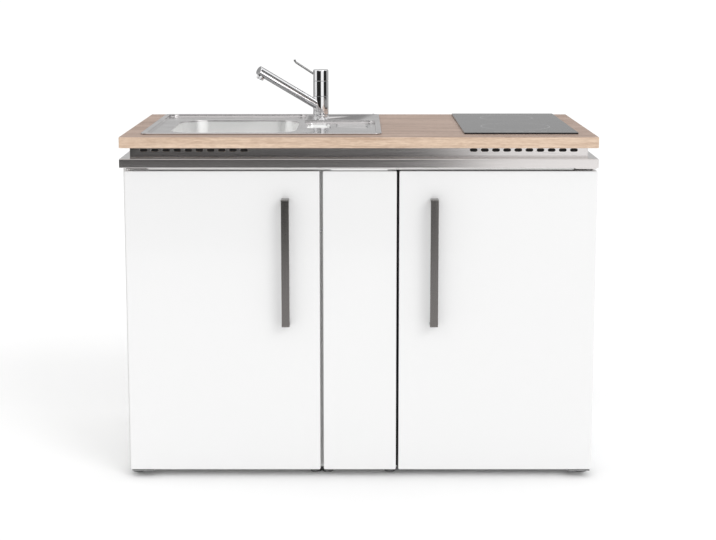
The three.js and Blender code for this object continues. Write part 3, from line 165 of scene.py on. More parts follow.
class MetalSettings(bpy.types.PropertyGroup):
    """Steel, chrome and nickel."""

    steel: colour("Steel", "Brushed steel of the surround", (0.74, 0.71, 0.70))
    sink: colour("Sink steel", "Satin steel of the sink's deck", (0.72, 0.70, 0.70))
    # Painted highlight: the bowl's steel is paler than the deck's, for the bright reflection in
    # its walls.
    bowl: colour("Bowl steel", "Paler satin steel in the sink's bowl", (0.95, 0.95, 0.94))
    # Painted shade: the handles' steel is far darker than the surround's, standing in for the
    # darkness that they reflect.
    handle: colour("Handle steel", "Darker brushed steel of the handles", (0.18, 0.17, 0.165))
    chrome: colour("Chrome", "Polished chrome", (0.90, 0.90, 0.91))
    # Painted shade: the darker colour that chrome gets where it faces down.
    chrome_painted_shade: colour("Chrome below", "Chrome that faces down", (0.34, 0.34, 0.35))
    nickel: colour("Nickel", "Dark nickel of the feet and the lever", (0.31, 0.31, 0.31))


class WhiteSettings(bpy.types.PropertyGroup):
    """Whites of the fronts, boards and mouldings."""

    gloss: colour("Fronts", "White lacquer of the fronts", (0.83, 0.83, 0.83))
    board: colour("Boards", "White melamine of the cabinets", (0.80, 0.80, 0.79))
    plastic: colour("Plastic", "White mouldings of the refrigerator", (0.82, 0.83, 0.84))


SETTINGS = {
    "kitchenette_studio": StudioSettings,
    "kitchenette_wood": WoodSettings,
    "kitchenette_metal": MetalSettings,
    "kitchenette_white": WhiteSettings,
}


def settings(group):
    """The settings of one group, such as "wood"."""
    return getattr(bpy.context.scene, "kitchenette_" + group)


# ---- shader values


class Value:
    """A shader socket. Sums and products of values add their Math nodes."""

    def __init__(self, tree, socket=None):
        self.tree = tree
        self.socket = socket

    def add(self, kind, options=None, inputs=None, output=0):
        """Adds a node: its options first, then its sockets' values or links."""
        node = self.tree.nodes.new("ShaderNode" + kind)
        for name, value in (options or {}).items():
            setattr(node, name, value)
        for name, value in (inputs or {}).items():
            if isinstance(value, Value):
                self.tree.links.new(value.socket, node.inputs[name])
            else:
                node.inputs[name].default_value = value
        return Value(self.tree, node.outputs[output])

    def math(self, operation, *others):
        """Adds a Math node on this value and others."""
        values = (self, *others) if self.socket else others
        return self.add("Math", {"operation": operation}, dict(enumerate(values)))

    def __add__(self, other):
        return self.math("ADD", other)

    __radd__ = __add__

    def __sub__(self, other):
        return self.math("SUBTRACT", other)

    def __rsub__(self, other):
        return Value(self.tree).math("SUBTRACT", other, self)

    def __mul__(self, other):
        return self.math("MULTIPLY", other)

    __rmul__ = __mul__

    def __abs__(self):
        return self.math("ABSOLUTE")

    def smooth(self, start, end, low=0.0, high=1.0):
        """Runs smoothly from low to high while this value goes from start to end."""
        return self.add(
            "MapRange",
            {"interpolation_type": "SMOOTHSTEP"},
            {"Value": self, "From Min": start, "From Max": end, "To Min": low, "To Max": high},
        )

    def mix(self, first, second):
        """Mixes two colours by this value."""
        pair = {6: opaque(first), 7: opaque(second), 0: self}
        return self.add("Mix", {"data_type": "RGBA"}, pair, output=2)

    def part(self, axis):
        """One coordinate of a vector: 0, 1 or 2."""
        return self.add("SeparateXYZ", None, {0: self}, output=axis)

    def noise(self, x, y, z, detail, roughness):
        """Noise that repeats about x, y and z times per unit along this vector's axes."""
        place = self.add("VectorMath", {"operation": "MULTIPLY"}, {0: self, 1: (x, y, z)})
        inputs = {"Vector": place, "Scale": 1, "Detail": detail, "Roughness": roughness}
        return self.add("TexNoise", None, inputs)


def opaque(shade):
    """A colour with its alpha, or a value left as it is."""
    return shade if isinstance(shade, Value) else (*shade, 1)


class Finish:
    """A material on one principled shader."""

    def __init__(self, name, base, roughness, metallic=0.0, **constants):
        self.material = bpy.data.materials.new(name)
        self.material.use_nodes = True
        self.tree = self.material.node_tree
        self.tree.nodes.clear()
        self.shader = self.tree.nodes.new("ShaderNodeBsdfPrincipled")
        output = self.tree.nodes.new("ShaderNodeOutputMaterial")
        self.tree.links.new(self.shader.outputs[0], output.inputs[0])
        self.start = Value(self.tree)
        self.place = self.start.add("TexCoord", output="Object")
        self.feed("Base Color", opaque(base))
        self.feed("Roughness", roughness)
        self.feed("Metallic", metallic)
        for socket, value in constants.items():
            self.feed(socket.replace("_", " "), value)
        self.material.diffuse_color = opaque(base)

    def feed(self, socket, value):
        """Sets or links one socket of the shader."""
        if isinstance(value, Value):
            self.tree.links.new(value.socket, self.shader.inputs[socket])
        else:
            self.shader.inputs[socket].default_value = value

    def bump(self, height, depth, strength=1.0):
        """Raises the surface by a height from 0 to 1, `depth` metres at most."""
        inputs = {"Height": height, "Distance": depth, "Strength": strength}
        self.feed("Normal", self.start.add("Bump", None, inputs))


# ---- finishes


def make_oak():
    """Light oak laminate: grain along the worktop, its top painted darker than its edge band, as
    shade.
    """
    wood = settings("wood")
    paint = Finish("oak_laminate", wood.light, 0.45, Specular_IOR_Level=0.4)
    place = paint.place
    streaks = place.noise(1.4, 30, 70, 5, 0.62)
    fine = place.noise(8, 200, 300, 3, 0.7)
    flecks = place.noise(50, 260, 330, 3, 0.7)
    pores = place.noise(30, 900, 1300, 2, 0.5)
    patches = place.noise(2.2, 5, 5, 2, 0.5)
    # Painted shade: faces that turn up take the darker top colours.
    up = paint.start.add("NewGeometry", output="Normal").part(2).smooth(0.3, 0.8)
    grain = streaks.smooth(0.38, 0.62) * 0.32 + fine.smooth(0.38, 0.62) * 0.24
    grain = grain + patches.smooth(0.4, 0.6) * 0.12 + flecks.smooth(0.35, 0.65) * 0.32
    flat = grain.mix(wood.light, wood.dark)
    top = grain.mix(wood.top_light_shaded, wood.top_dark_shaded)
    paint.feed("Base Color", up.mix(flat, top))
    paint.feed("Roughness", pores.smooth(0.3, 0.7, 0.40, 0.52))
    paint.bump(pores, 0.0002, 0.3)
    return paint.material


def brushed(name, base, roughness, spread, pitch):
    """Steel whose brush marks run where the pitch is small; its roughness varies over a spread."""
    paint = Finish(name, base, roughness, 1.0)
    brush = paint.place.noise(*pitch, 3, 0.6)
    paint.feed("Roughness", brush.smooth(0.25, 0.75, *spread))
    paint.bump(brush, 0.00002, 0.3)
    return paint.material


def grained(name, base, roughness, spread, pitch, bump=None, detail=2, metallic=0.0):
    """A finish with an even fine grain, which varies its roughness over a spread and may raise it.

    The bump is its depth in metres and its strength."""
    paint = Finish(name, base, roughness, metallic)
    grain = paint.place.noise(pitch, pitch, pitch, detail, 0.6)
    paint.feed("Roughness", grain.smooth(0.3, 0.7, *spread))
    if bump:
        paint.bump(grain, *bump)
    return paint.material


def make_sink_steel():
    """Satin steel of the sink: linen grain on its deck, softer in the bowl, and paler and less
    metallic there as a painted highlight.
    """
    metal = settings("metal")
    paint = Finish("satin_steel", metal.sink, 0.2, 1.0)
    linen = paint.place.noise(420, 420, 420, 2, 0.6)
    cloud = paint.place.noise(9, 9, 9, 2, 0.5)
    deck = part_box("sink")[1].z
    # Painted highlight: below the recess floor the steel turns paler and less metallic.
    bowl = paint.place.part(2).smooth(deck - 0.0068, deck - 0.012)
    paint.feed("Base Color", bowl.mix(metal.sink, metal.bowl))
    paint.feed("Roughness", cloud.smooth(0.3, 0.7, 0.15, 0.22) + bowl * 0.14)
    paint.feed("Metallic", 1 - bowl * 0.3)
    paint.bump(linen, 0.00002, 0.25)
    return paint.material


def make_chrome():
    """Polished chrome, with painted shade where it faces the ground: its colour turns darker on
    faces that look down.
    """
    metal = settings("metal")
    paint = Finish("chrome", metal.chrome, 0.04, 1.0)
    smear = paint.place.noise(60, 60, 60, 2, 0.5)
    # Painted shade: a mask of the faces that turn down, which darkens the chrome there.
    below = paint.start.add("NewGeometry", output="Normal").part(2).smooth(-0.12, -0.45)
    paint.feed("Base Color", below.mix(metal.chrome, metal.chrome_painted_shade))
    paint.feed("Roughness", smear.smooth(0.3, 0.7, 0.03, 0.06))
    return paint.material


def make_hob_glass():
    """Black glass with two printed rings for the pots and a row of five round keys."""
    paint = Finish("hob_glass", (0.012, 0.012, 0.013), 0.12, Specular_IOR_Level=0.5)
    paint.feed("Specular Tint", (1.0, 0.95, 0.96, 1))
    x, y = paint.place.part(0), paint.place.part(1)
    low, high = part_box("hob_glass")
    centre = (low.x + high.x) / 2

    def ring(across, along, radius):
        """The line of a printed circle, from the distances to its middle."""
        reach = (across * across + along * along).math("SQRT")
        return abs(reach - radius).smooth(0.0009, 0.0004)

    marks = ring(x - centre, y - (low.y + 0.155), 0.09)
    marks = marks + ring(x - centre, y - (high.y - 0.125), 0.0725)
    keys = ring((x - centre).math("PINGPONG", 0.015), y - (low.y + 0.027), 0.0065)
    marks = marks + keys * abs(x - centre).smooth(0.076, 0.074)
    paint.feed("Base Color", marks.mix((0.012, 0.012, 0.013), (0.42, 0.42, 0.43)))
    speck = paint.place.noise(900, 900, 900, 2, 0.5)
    paint.feed("Roughness", speck.smooth(0.3, 0.7, 0.10, 0.16))
    return paint.material


def make_white_gloss():
    """White lacquer: glossy in front, satin on the back and the edges of a front."""
    white = settings("white")
    paint = Finish("white_lacquer", white.gloss, 0.16, Coat_Weight=0.3, Coat_Roughness=0.05)
    peel = paint.place.noise(160, 160, 160, 2, 0.5)
    front = paint.start.add("TexCoord", output="Normal").part(1).smooth(-0.3, -0.7)
    paint.feed("Roughness", peel.smooth(0.3, 0.7, 0.44, 0.5) - front * 0.3)
    paint.feed("Coat Weight", front * 0.3)
    paint.bump(peel, 0.0001, 0.15)
    return paint.material


def make_clear_plastic():
    """Faintly blue and hazy, for the shelves and racks."""
    paint = Finish("clear_plastic", (0.78, 0.85, 0.88), 0.12, IOR=1.45, Transmission_Weight=0.7)
    haze = paint.place.noise(90, 90, 90, 2, 0.5)
    paint.feed("Roughness", haze.smooth(0.3, 0.7, 0.1, 0.18))
    return paint.material


def new_material(slot):
    """Makes a slot's material; the dark foam also coats the sink's underside against drumming."""
    metal, white = settings("metal"), settings("white")
    black, grey, seal = (0.02, 0.02, 0.021), (0.26, 0.26, 0.27), (0.62, 0.62, 0.61)
    # The handles get the dark steel colour of painted shade.
    steel, handle_painted_shade = ("brushed_steel", metal.steel), ("handle_steel", metal.handle)
    board, plastic = ("white_melamine", white.board), ("white_plastic", white.plastic)
    make, *values = {
        "oak": (make_oak,),
        "sink_steel": (make_sink_steel,),
        "chrome": (make_chrome,),
        "hob_glass": (make_hob_glass,),
        "white_gloss": (make_white_gloss,),
        "clear_plastic": (make_clear_plastic,),
        "steel": (brushed, *steel, 0.12, (0.10, 0.17), (5, 700, 700)),
        "handle_steel": (brushed, *handle_painted_shade, 0.2, (0.16, 0.25), (700, 700, 5)),
        "foot_metal": (grained, "dark_nickel", metal.nickel, 0.3, (0.22, 0.4), 220, None, 3, 1.0),
        # Dark foam: a real coat under the sink, and painted shade in the gaps beside the
        # refrigerator and behind the vents.
        "dark_foam": (grained, "dark_foam", black, 0.85, (0.75, 0.95), 300, (0.0005, 0.5), 3),
        "black_enamel": (grained, "black_enamel", black, 0.35, (0.28, 0.42), 700, (0.0002, 0.3)),
        "white_board": (grained, *board, 0.45, (0.4, 0.52), 500, (0.0002, 0.25)),
        "white_plastic": (grained, *plastic, 0.35, (0.3, 0.42), 380, (0.0002, 0.12)),
        "grey_plastic": (grained, "grey_plastic", grey, 0.45, (0.38, 0.52), 600, (0.0002, 0.2)),
        "gasket": (grained, "door_seal", seal, 0.7, (0.62, 0.8), 500),
    }[slot]
    return make(*values)


_made = {}


def material(slot):
    """The material of one of the record's slots, made the first time it is asked for."""
    if slot not in _made:
        _made[slot] = new_material(slot)
    return _made[slot]


def dress(obj, slot):
    """Gives an object the material of a slot."""
    obj.data.materials.clear()
    obj.data.materials.append(material(slot))


# ---- modelling


def mode(name):
    """Enters object or edit mode."""
    bpy.ops.object.mode_set(mode=name)


def choose(piece):
    """Selects one object alone and makes it the active one."""
    bpy.ops.object.select_all(action="DESELECT")
    bpy.context.view_layer.objects.active = piece
    piece.select_set(True)


def box(node):
    """The two corners of a packed part's box, in millimetres."""
    return [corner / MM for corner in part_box(node)]


def around(count):
    """Directions spread evenly round upright, as their x and y."""
    for step in range(count):
        angle = 2 * math.pi * step / count
        yield math.cos(angle), math.sin(angle)


def begin(name):
    """Starts a piece: an empty mesh at the origin, open for editing."""
    if bpy.context.mode != "OBJECT":
        mode("OBJECT")
    bpy.ops.object.select_all(action="DESELECT")
    bpy.ops.object.add(type="MESH", location=(0, 0, 0))
    piece = bpy.context.object
    piece.name = piece.data.name = name
    mode("EDIT")
    return piece


def pick(kind, test, fresh=False):
    """Selects the vertices, edges or faces that pass a test, or only the fresh ones among them."""
    bpy.ops.mesh.select_mode(type=kind)
    mesh = bmesh.from_edit_mesh(bpy.context.object.data)
    group = {"VERT": mesh.verts, "EDGE": mesh.edges, "FACE": mesh.faces}[kind]
    chosen = [item for item in group if (item.select or not fresh) and test(item)]
    for item in [*mesh.faces, *mesh.edges, *mesh.verts]:
        item.select = False
    for item in chosen:
        item.select_set(True)
    bmesh.update_edit_mesh(bpy.context.object.data)


def middle(item):
    """The middle of an edge or a face."""
    if isinstance(item, bmesh.types.BMFace):
        return item.calc_center_median()
    return (item.verts[0].co + item.verts[1].co) / 2


def upright(edge):
    """True for an edge that stands straight up."""
    way = edge.verts[1].co - edge.verts[0].co
    return abs(way.z) > 0.99 * way.length


def block(low, high, corner=0, corner_steps=8, draft=0, fillet=0, fillet_steps=4):
    """Adds a block with rounded upright edges, whose foot is drawn in and rounded."""
    low, high = Vector(low) * MM, Vector(high) * MM
    size = high - low
    bpy.ops.mesh.primitive_cube_add(size=1, location=(low + high) / 2, scale=size)
    if corner:
        pick("EDGE", upright, fresh=True)
        bpy.ops.mesh.bevel(offset=corner * MM, segments=corner_steps, profile=0.5)
        bpy.ops.mesh.select_linked()
    foot = low.z + size.z * 0.01
    if draft:
        centre = (low + high) / 2
        pick("FACE", lambda face: middle(face).z < foot, fresh=True)
        shrink = [1 - 2 * draft * MM / size[axis] for axis in (0, 1)]
        bpy.ops.transform.resize(value=(*shrink, 1), center_override=centre)
        bpy.ops.mesh.select_linked()
    if fillet:
        pick("EDGE", lambda edge: max(v.co.z for v in edge.verts) < foot, fresh=True)
        bpy.ops.mesh.bevel(offset=fillet * MM, segments=fillet_steps, profile=0.5)
        bpy.ops.mesh.select_linked()


def turned(profile, place, steps=64, closed=False, axis=None):
    """Adds a round form: a disc is drawn up and resized from level to level of [radius, height].

    A closed profile ends where it starts and leaves a bore. With an axis, the form is tilted
    from upright to that direction round its foot."""
    bpy.ops.mesh.select_all(action="DESELECT")
    foot = Vector(place) * MM
    radius, height = profile[0]
    start = foot + Vector((0, 0, height * MM))
    bpy.ops.mesh.primitive_circle_add(
        vertices=steps, radius=radius * MM, fill_type="NGON", location=start
    )
    levels = profile[1:] + ([profile[0]] if closed else [])
    for next_radius, next_height in levels:
        rise = (next_height - height) * MM
        bpy.ops.mesh.extrude_region_move(TRANSFORM_OT_translate={"value": (0, 0, rise)})
        centre = foot + Vector((0, 0, next_height * MM))
        ratio = next_radius / radius
        bpy.ops.transform.resize(value=(ratio, ratio, 1), center_override=centre)
        radius, height = next_radius, next_height
    bpy.ops.mesh.select_linked()
    if closed:
        pick("FACE", lambda face: len(face.verts) == steps, fresh=True)
        bpy.ops.mesh.delete(type="FACE")
        pick("VERT", lambda vert: (vert.co - foot).length < 10)
        bpy.ops.mesh.remove_doubles(threshold=1e-6)
    if axis is not None:
        tilt(axis, foot)


def tilt(axis, foot):
    """Turns what is selected from upright to a direction, round a point."""
    turn = Vector((0, 0, 1)).rotation_difference(Vector(axis)).to_euler("XYZ")
    for name, angle in zip("XYZ", turn):
        bpy.ops.transform.rotate(value=-angle, orient_axis=name, center_override=foot)


def bar(start, end, radius, steps=32, start_round=0, end_round=0):
    """Adds a round bar between two points, with its ends rounded off."""
    way = Vector(end) - Vector(start)
    levels = dome(radius, 0, start_round, 1) + dome(radius, way.length, end_round, -1)[::-1]
    turned(levels, start, steps, axis=way)


def dome(radius, height, rounding, side):
    """The levels of a bar's rounded end, from its tip to its full radius."""
    if not rounding:
        return [(radius, height)]
    levels = []
    for step in range(DOME_STEPS + 1):
        angle = math.radians(DOME_TURN) * (1 - step / DOME_STEPS)
        inset = rounding * (1 - math.cos(angle))
        levels.append((radius - inset, height + side * rounding * (1 - math.sin(angle))))
    return levels


def tube(name, path, radius, steps=10):
    """A round tube along a smooth curve through points, as a mesh of its own."""
    bpy.ops.object.select_all(action="DESELECT")
    bpy.ops.curve.primitive_bezier_curve_add(location=(0, 0, 0))
    curve = bpy.context.object.data
    line = curve.splines[0].bezier_points
    line.add(len(path) - 2)
    for point, place in zip(line, path):
        point.co = Vector(place) * MM
        point.handle_left_type = point.handle_right_type = "AUTO"
    curve.bevel_depth = radius * MM
    curve.bevel_resolution = 6
    curve.resolution_u = steps
    curve.use_fill_caps = True
    bpy.ops.object.convert(target="MESH")
    piece = bpy.context.object
    piece.name = name
    mode("EDIT")
    return close_up(piece)


def close_up(piece):
    """Ends editing: doubles are merged and faces turned outwards."""
    bpy.ops.mesh.select_all(action="SELECT")
    bpy.ops.mesh.remove_doubles(threshold=1e-7)
    bpy.ops.mesh.normals_make_consistent(inside=False)
    mode("OBJECT")
    return piece


def shaped(name, shape, *measures, **options):
    """A new piece of one closed shape."""
    piece = begin(name)
    shape(*measures, **options)
    return close_up(piece)


def tool(shape, *measures):
    """A shape that is to be cut out of a piece or joined on."""
    return shaped("tool", shape, *measures)


def apply(piece, kind, **options):
    """Adds a modifier, sets it and applies it."""
    choose(piece)
    modifier = piece.modifiers.new(kind.lower(), kind)
    for name, value in options.items():
        setattr(modifier, name, value)
    bpy.ops.object.modifier_apply(modifier=modifier.name)


def carve(piece, cutter, operation="DIFFERENCE"):
    """Cuts a shape out of a piece, or joins it on, and throws the shape away.

    A cut can number its corners in another order each time, so they are sorted by their place."""
    apply(piece, "BOOLEAN", object=cutter, operation=operation, solver="EXACT")
    mesh = cutter.data
    bpy.data.objects.remove(cutter)
    bpy.data.meshes.remove(mesh)
    mode("EDIT")
    bpy.ops.mesh.select_all(action="SELECT")
    bpy.context.scene.cursor.location = SORT_FROM
    bpy.ops.mesh.sort_elements(type="CURSOR_DISTANCE", elements={"VERT", "EDGE", "FACE"})
    mode("OBJECT")


def soften(piece, width, segments=2, angle=30):
    """Rounds the sharp edges of a piece."""
    sharp = {"limit_method": "ANGLE", "angle_limit": math.radians(angle)}
    corners = {"use_clamp_overlap": False, "miter_outer": "MITER_ARC"}
    apply(piece, "BEVEL", width=width * MM, segments=segments, **sharp, **corners)


def smooth(piece):
    """Shades a piece smooth, with creases at its sharp edges."""
    choose(piece)
    bpy.ops.object.shade_smooth_by_angle(angle=math.radians(CREASE))


def settle(piece, node, finish=None):
    """Finishes a piece that stands for a packed part: its body, its finish and smooth shading."""
    slot = node_slots()[node]
    smooth(piece)
    apply(piece, "WEIGHTED_NORMAL", keep_sharp=True)
    dress(piece, finish or slot)
    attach(piece, NODES[node]["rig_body"])
    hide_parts(node)


def addition(piece, beside, slot, finish=None):
    """Finishes a small piece that packed parts don't have, on the body of one of them."""
    smooth(piece)
    dress(piece, finish or slot)
    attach(piece, NODES[beside]["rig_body"])


def refine(node, width, segments=2, finish=None):
    """Models a packed part again with its faces merged and its edges rounded."""
    mesh = NODES[node].data.copy()
    piece = bpy.data.objects.new(node + "_fine", mesh)
    bpy.context.scene.collection.objects.link(piece)
    choose(piece)
    mode("EDIT")
    close_up(piece)
    mode("EDIT")
    bpy.ops.mesh.select_all(action="SELECT")
    bpy.ops.mesh.dissolve_limited(angle_limit=math.radians(0.5))
    mode("OBJECT")
    if width:
        soften(piece, width, segments)
    settle(piece, node, finish)


def refine_all(width, *nodes):
    """Refines packed parts that get the same rounding."""
    for node in nodes:
        refine(node, width)


# ---- operators


def node_slots():
    """The record's material slot of every CAD node."""
    return {part["node"]: part["material_slot"] for part in frame["record"]["subparts"]}


class KITCHENETTE_OT_finishes(bpy.types.Operator):
    """Give every packed part its own finish"""

    bl_idname = "kitchenette.finishes"
    bl_label = "Finishes"

    def execute(self, context):
        for node, slot in node_slots().items():
            dress(NODES[node], slot)
        return {"FINISHED"}


class KITCHENETTE_OT_worktop(bpy.types.Operator):
    """Round the edges of the worktop, the folded surround and the rail behind it"""

    bl_idname = "kitchenette.worktop"
    bl_label = "Worktop"

    def execute(self, context):
        refine("worktop", 0.5)
        refine_all(0.4, "steel_surround", "rear_rail")
        return {"FINISHED"}


class KITCHENETTE_OT_sink(bpy.types.Operator):
    """Press the sink: rim, recess, bowl, overflow tray and fanned grooves"""

    bl_idname = "kitchenette.sink"
    bl_label = "Sink"

    def execute(self, context):
        low, high = box("sink")
        top = high.z
        foot = low.x, low.y, top - BOWL_DEPTH - 20
        sink = shaped("sink_pressed", block, foot, high, SINK_CORNER)
        for pressing in self.pressings(low, high, top):
            carve(sink, pressing)
        mode("EDIT")
        base = (top - BOWL_DEPTH - 19) * MM
        pick("FACE", lambda face: min(v.co.z for v in face.verts) < base)
        bpy.ops.mesh.delete(type="FACE")
        for (x0, x1), (y0, y1), round_off in ((BOWL_X, BOWL_Y, 5), (TRAY_X, TRAY_Y, 3)):
            floor = (top - RECESS) * MM

            def lip(edge):
                at = middle(edge) / MM
                level = all(abs(v.co.z - floor) < 1e-5 for v in edge.verts)
                return level and x0 - 1 < at.x < x1 + 1 and y0 - 1 < at.y < y1 + 1

            pick("EDGE", lip)
            bpy.ops.mesh.bevel(offset=round_off * MM, segments=5, profile=0.5, clamp_overlap=True)
        pick("EDGE", lambda edge: edge.is_boundary and self.outer(middle(edge) / MM, low, high))
        down = {"value": (0, 0, -SINK_FLANGE * MM)}
        bpy.ops.mesh.extrude_region_move(TRANSFORM_OT_translate=down)
        bpy.ops.mesh.select_all(action="SELECT")
        bpy.ops.mesh.dissolve_degenerate(threshold=0.02 * MM)
        bpy.ops.mesh.dissolve_limited(angle_limit=math.radians(0.2))
        bpy.ops.mesh.quads_convert_to_tris(quad_method="BEAUTY", ngon_method="BEAUTY")
        close_up(sink)
        soften(sink, 0.9, 3)
        settle(sink, "sink", finish="sink_steel")
        sink.data.materials.append(material("dark_foam"))
        apply(sink, "SOLIDIFY", thickness=SINK_SHEET * MM, offset=-1, material_offset=1)
        return {"FINISHED"}

    def outer(self, at, low, high):
        """True along the outside of the rim."""
        x = min(at.x - low.x, high.x - at.x)
        y = min(at.y - low.y, high.y - at.y)
        return min(x, y) < 1 or x < SINK_CORNER / 2 and y < SINK_CORNER / 2

    def pressings(self, low, high, top):
        """The tools that press the sheet, from the large recesses to the holes."""
        floor = top - RECESS
        y = low.y + SINK_RIM, high.y - SINK_RIM
        over = top + 9
        bowl, base = list(zip(BOWL_X, BOWL_Y)), top - BOWL_DEPTH
        tray = list(zip(TRAY_X, TRAY_Y))
        for start, end, corner, fillet, steps, draft in (
            ((low.x + SINK_RIM, y[0], floor), (BOWL_END, y[1], over), 26, 2.5, 2, 0),
            ((DRAINER_START, y[0], floor), (high.x - SINK_RIM, DRAINER_BACK, over), 26, 2.5, 2, 0),
            ((*bowl[0], base), (*bowl[1], over), 75, 26, 7, 19),
            ((*tray[0], floor - TRAY_DEPTH), (*tray[1], over), 14, 5, 4, 3),
        ):
            yield tool(block, start, end, corner, 12, draft, fillet, steps)
        dish = [(45, -30), (45, 0), (53, 0.4), (57, 3), (58, 8)]
        yield tool(turned, dish, (*DRAIN, base - DISH_DEPTH))
        for radius, place in ((TAP_HOLE, TAP), (OVERFLOW_HOLE, TRAY_MIDDLE)):
            yield tool(turned, [(radius, -BOWL_DEPTH - 30), (radius, 9)], (*place, top), 48)
        for step in (-1.5, -0.5, 0.5, 1.5):
            ends = []
            for x, gap in zip(GROOVES_X, GROOVE_GAPS):
                ends.append(Vector((x, TRAY_MIDDLE[1] + step * gap, floor + 3)))
            yield tool(bar, *ends, 6, 24, 6, 6)


class KITCHENETTE_OT_tap(bpy.types.Operator):
    """Turn the mixer tap: base, swivelling spout, head, slotted cap and pin lever"""

    bl_idname = "kitchenette.tap"
    bl_label = "Tap"

    def execute(self, context):
        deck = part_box("sink")[1].z / MM
        foot = (*TAP, deck)
        profile = [(TAP_CORE, -55), (TAP_CORE, 0.3), (24, 0.3), (24, 2), (23.5, 2.6), (22.3, 3.2)]
        profile += [(22.3, 12), (22, 12.6), (21.3, 13), (20.1, 13.8), (21.3, 14.6), (21.3, 23.6)]
        profile += [(20.9, 24), (TAP_CORE, 24), (TAP_CORE, 79)]
        settle(shaped("tap_base_turned", turned, profile, foot), "tap_base")
        self.spout(foot)
        profile = [(20.6, 65.3), (21.3, 66), (21.3, 106.3), (20.6, 107)]
        head = shaped("tap_head_turned", turned, profile, foot)
        carve(head, self.hole(foot, TAP_CORE + GAP, 60, 79.4))
        settle(head, "tap_head")
        profile = [(20.9, 107.3), (21.3, 107.7), (21.3, 134.6), (21, 136), (20.3, 137)]
        profile += [(19.2, 137.7), (17.8, 138)]
        cap = shaped("tap_cap_turned", turned, profile, foot)
        carve(cap, self.hole(foot, 18.8, 100, 135.5))
        y = TAP[1] - LEVER_SLOT / 2, TAP[1] + LEVER_SLOT / 2
        carve(cap, tool(block, (TAP[0] - 25, y[0], deck + 113), (TAP[0], y[1], deck + 140)))
        soften(cap, 0.4)
        settle(cap, "tap_cap")
        self.lever()
        refine("tap_nut", 0)
        return {"FINISHED"}

    def hole(self, foot, radius, start, end):
        return tool(turned, [(radius, start), (radius, end)], foot)

    def spout(self, foot):
        """The collar with its rising tube, and the aerator under the tube's end."""
        tip, root = Vector((SPOUT_REACH, 0, SPOUT_TIP)), Vector((0, 0, SPOUT_ROOT))
        turn = math.radians(SPOUT_TURN)
        heading = Vector((-math.cos(turn), -math.sin(turn), 0))

        def along(part, below=0):
            way = (tip - root).normalized()
            drop = Vector((way.z, 0, -way.x)) * below
            at = root + way * part + drop
            return Vector(foot) + heading * at.x + Vector((0, 0, at.z))

        reach = (tip - root).length
        profile = [(20.9, 24.3), (21.3, 24.7), (21.3, 64.3), (20.6, 65)]
        spout = shaped("tap_spout_turned", turned, profile, foot)
        carve(spout, tool(bar, along(0), along(reach), 12.5, 48, 0, 1.6), "UNION")
        carve(spout, self.hole(foot, TAP_CORE + GAP, 10, 80))
        soften(spout, 0.5, 3, angle=50)
        settle(spout, "tap_spout")
        at = reach - 14
        way = along(at, 1) - along(at)
        profile = [(6.8, 0), (6.8, 3.6), (9.6, 3.6), (10, 4), (10, 6.2), (9.6, 6.5)]
        profile += [(9.6, 7), (10, 7.3), (10, 9.8), (9.5, 10.3), (8.4, 10.3), (8, 7.6)]
        mouth = shaped("tap_aerator_turned", turned, profile, along(at, 9.2), 48, axis=way)
        settle(mouth, "tap_aerator")

    def lever(self):
        """A pin with a ball in the cap and a short upright tip."""
        low, high = box("tap_lever")
        pivot = Vector((*TAP, low.z + 5))
        knee = Vector((low.x + LEVER_RADIUS + 1, TAP[1], high.z - 6.4))
        lever = begin("tap_lever_turned")
        bpy.ops.mesh.primitive_uv_sphere_add(
            segments=24, ring_count=16, radius=5 * MM, location=pivot * MM
        )
        close_up(lever)
        for start, end, rounding in ((pivot, knee, 2.9), (knee, knee + Vector((-1, 0, 6)), 1)):
            carve(lever, tool(bar, start, end, LEVER_RADIUS, 24, 0, rounding), "UNION")
        settle(lever, "tap_lever", finish="foot_metal")


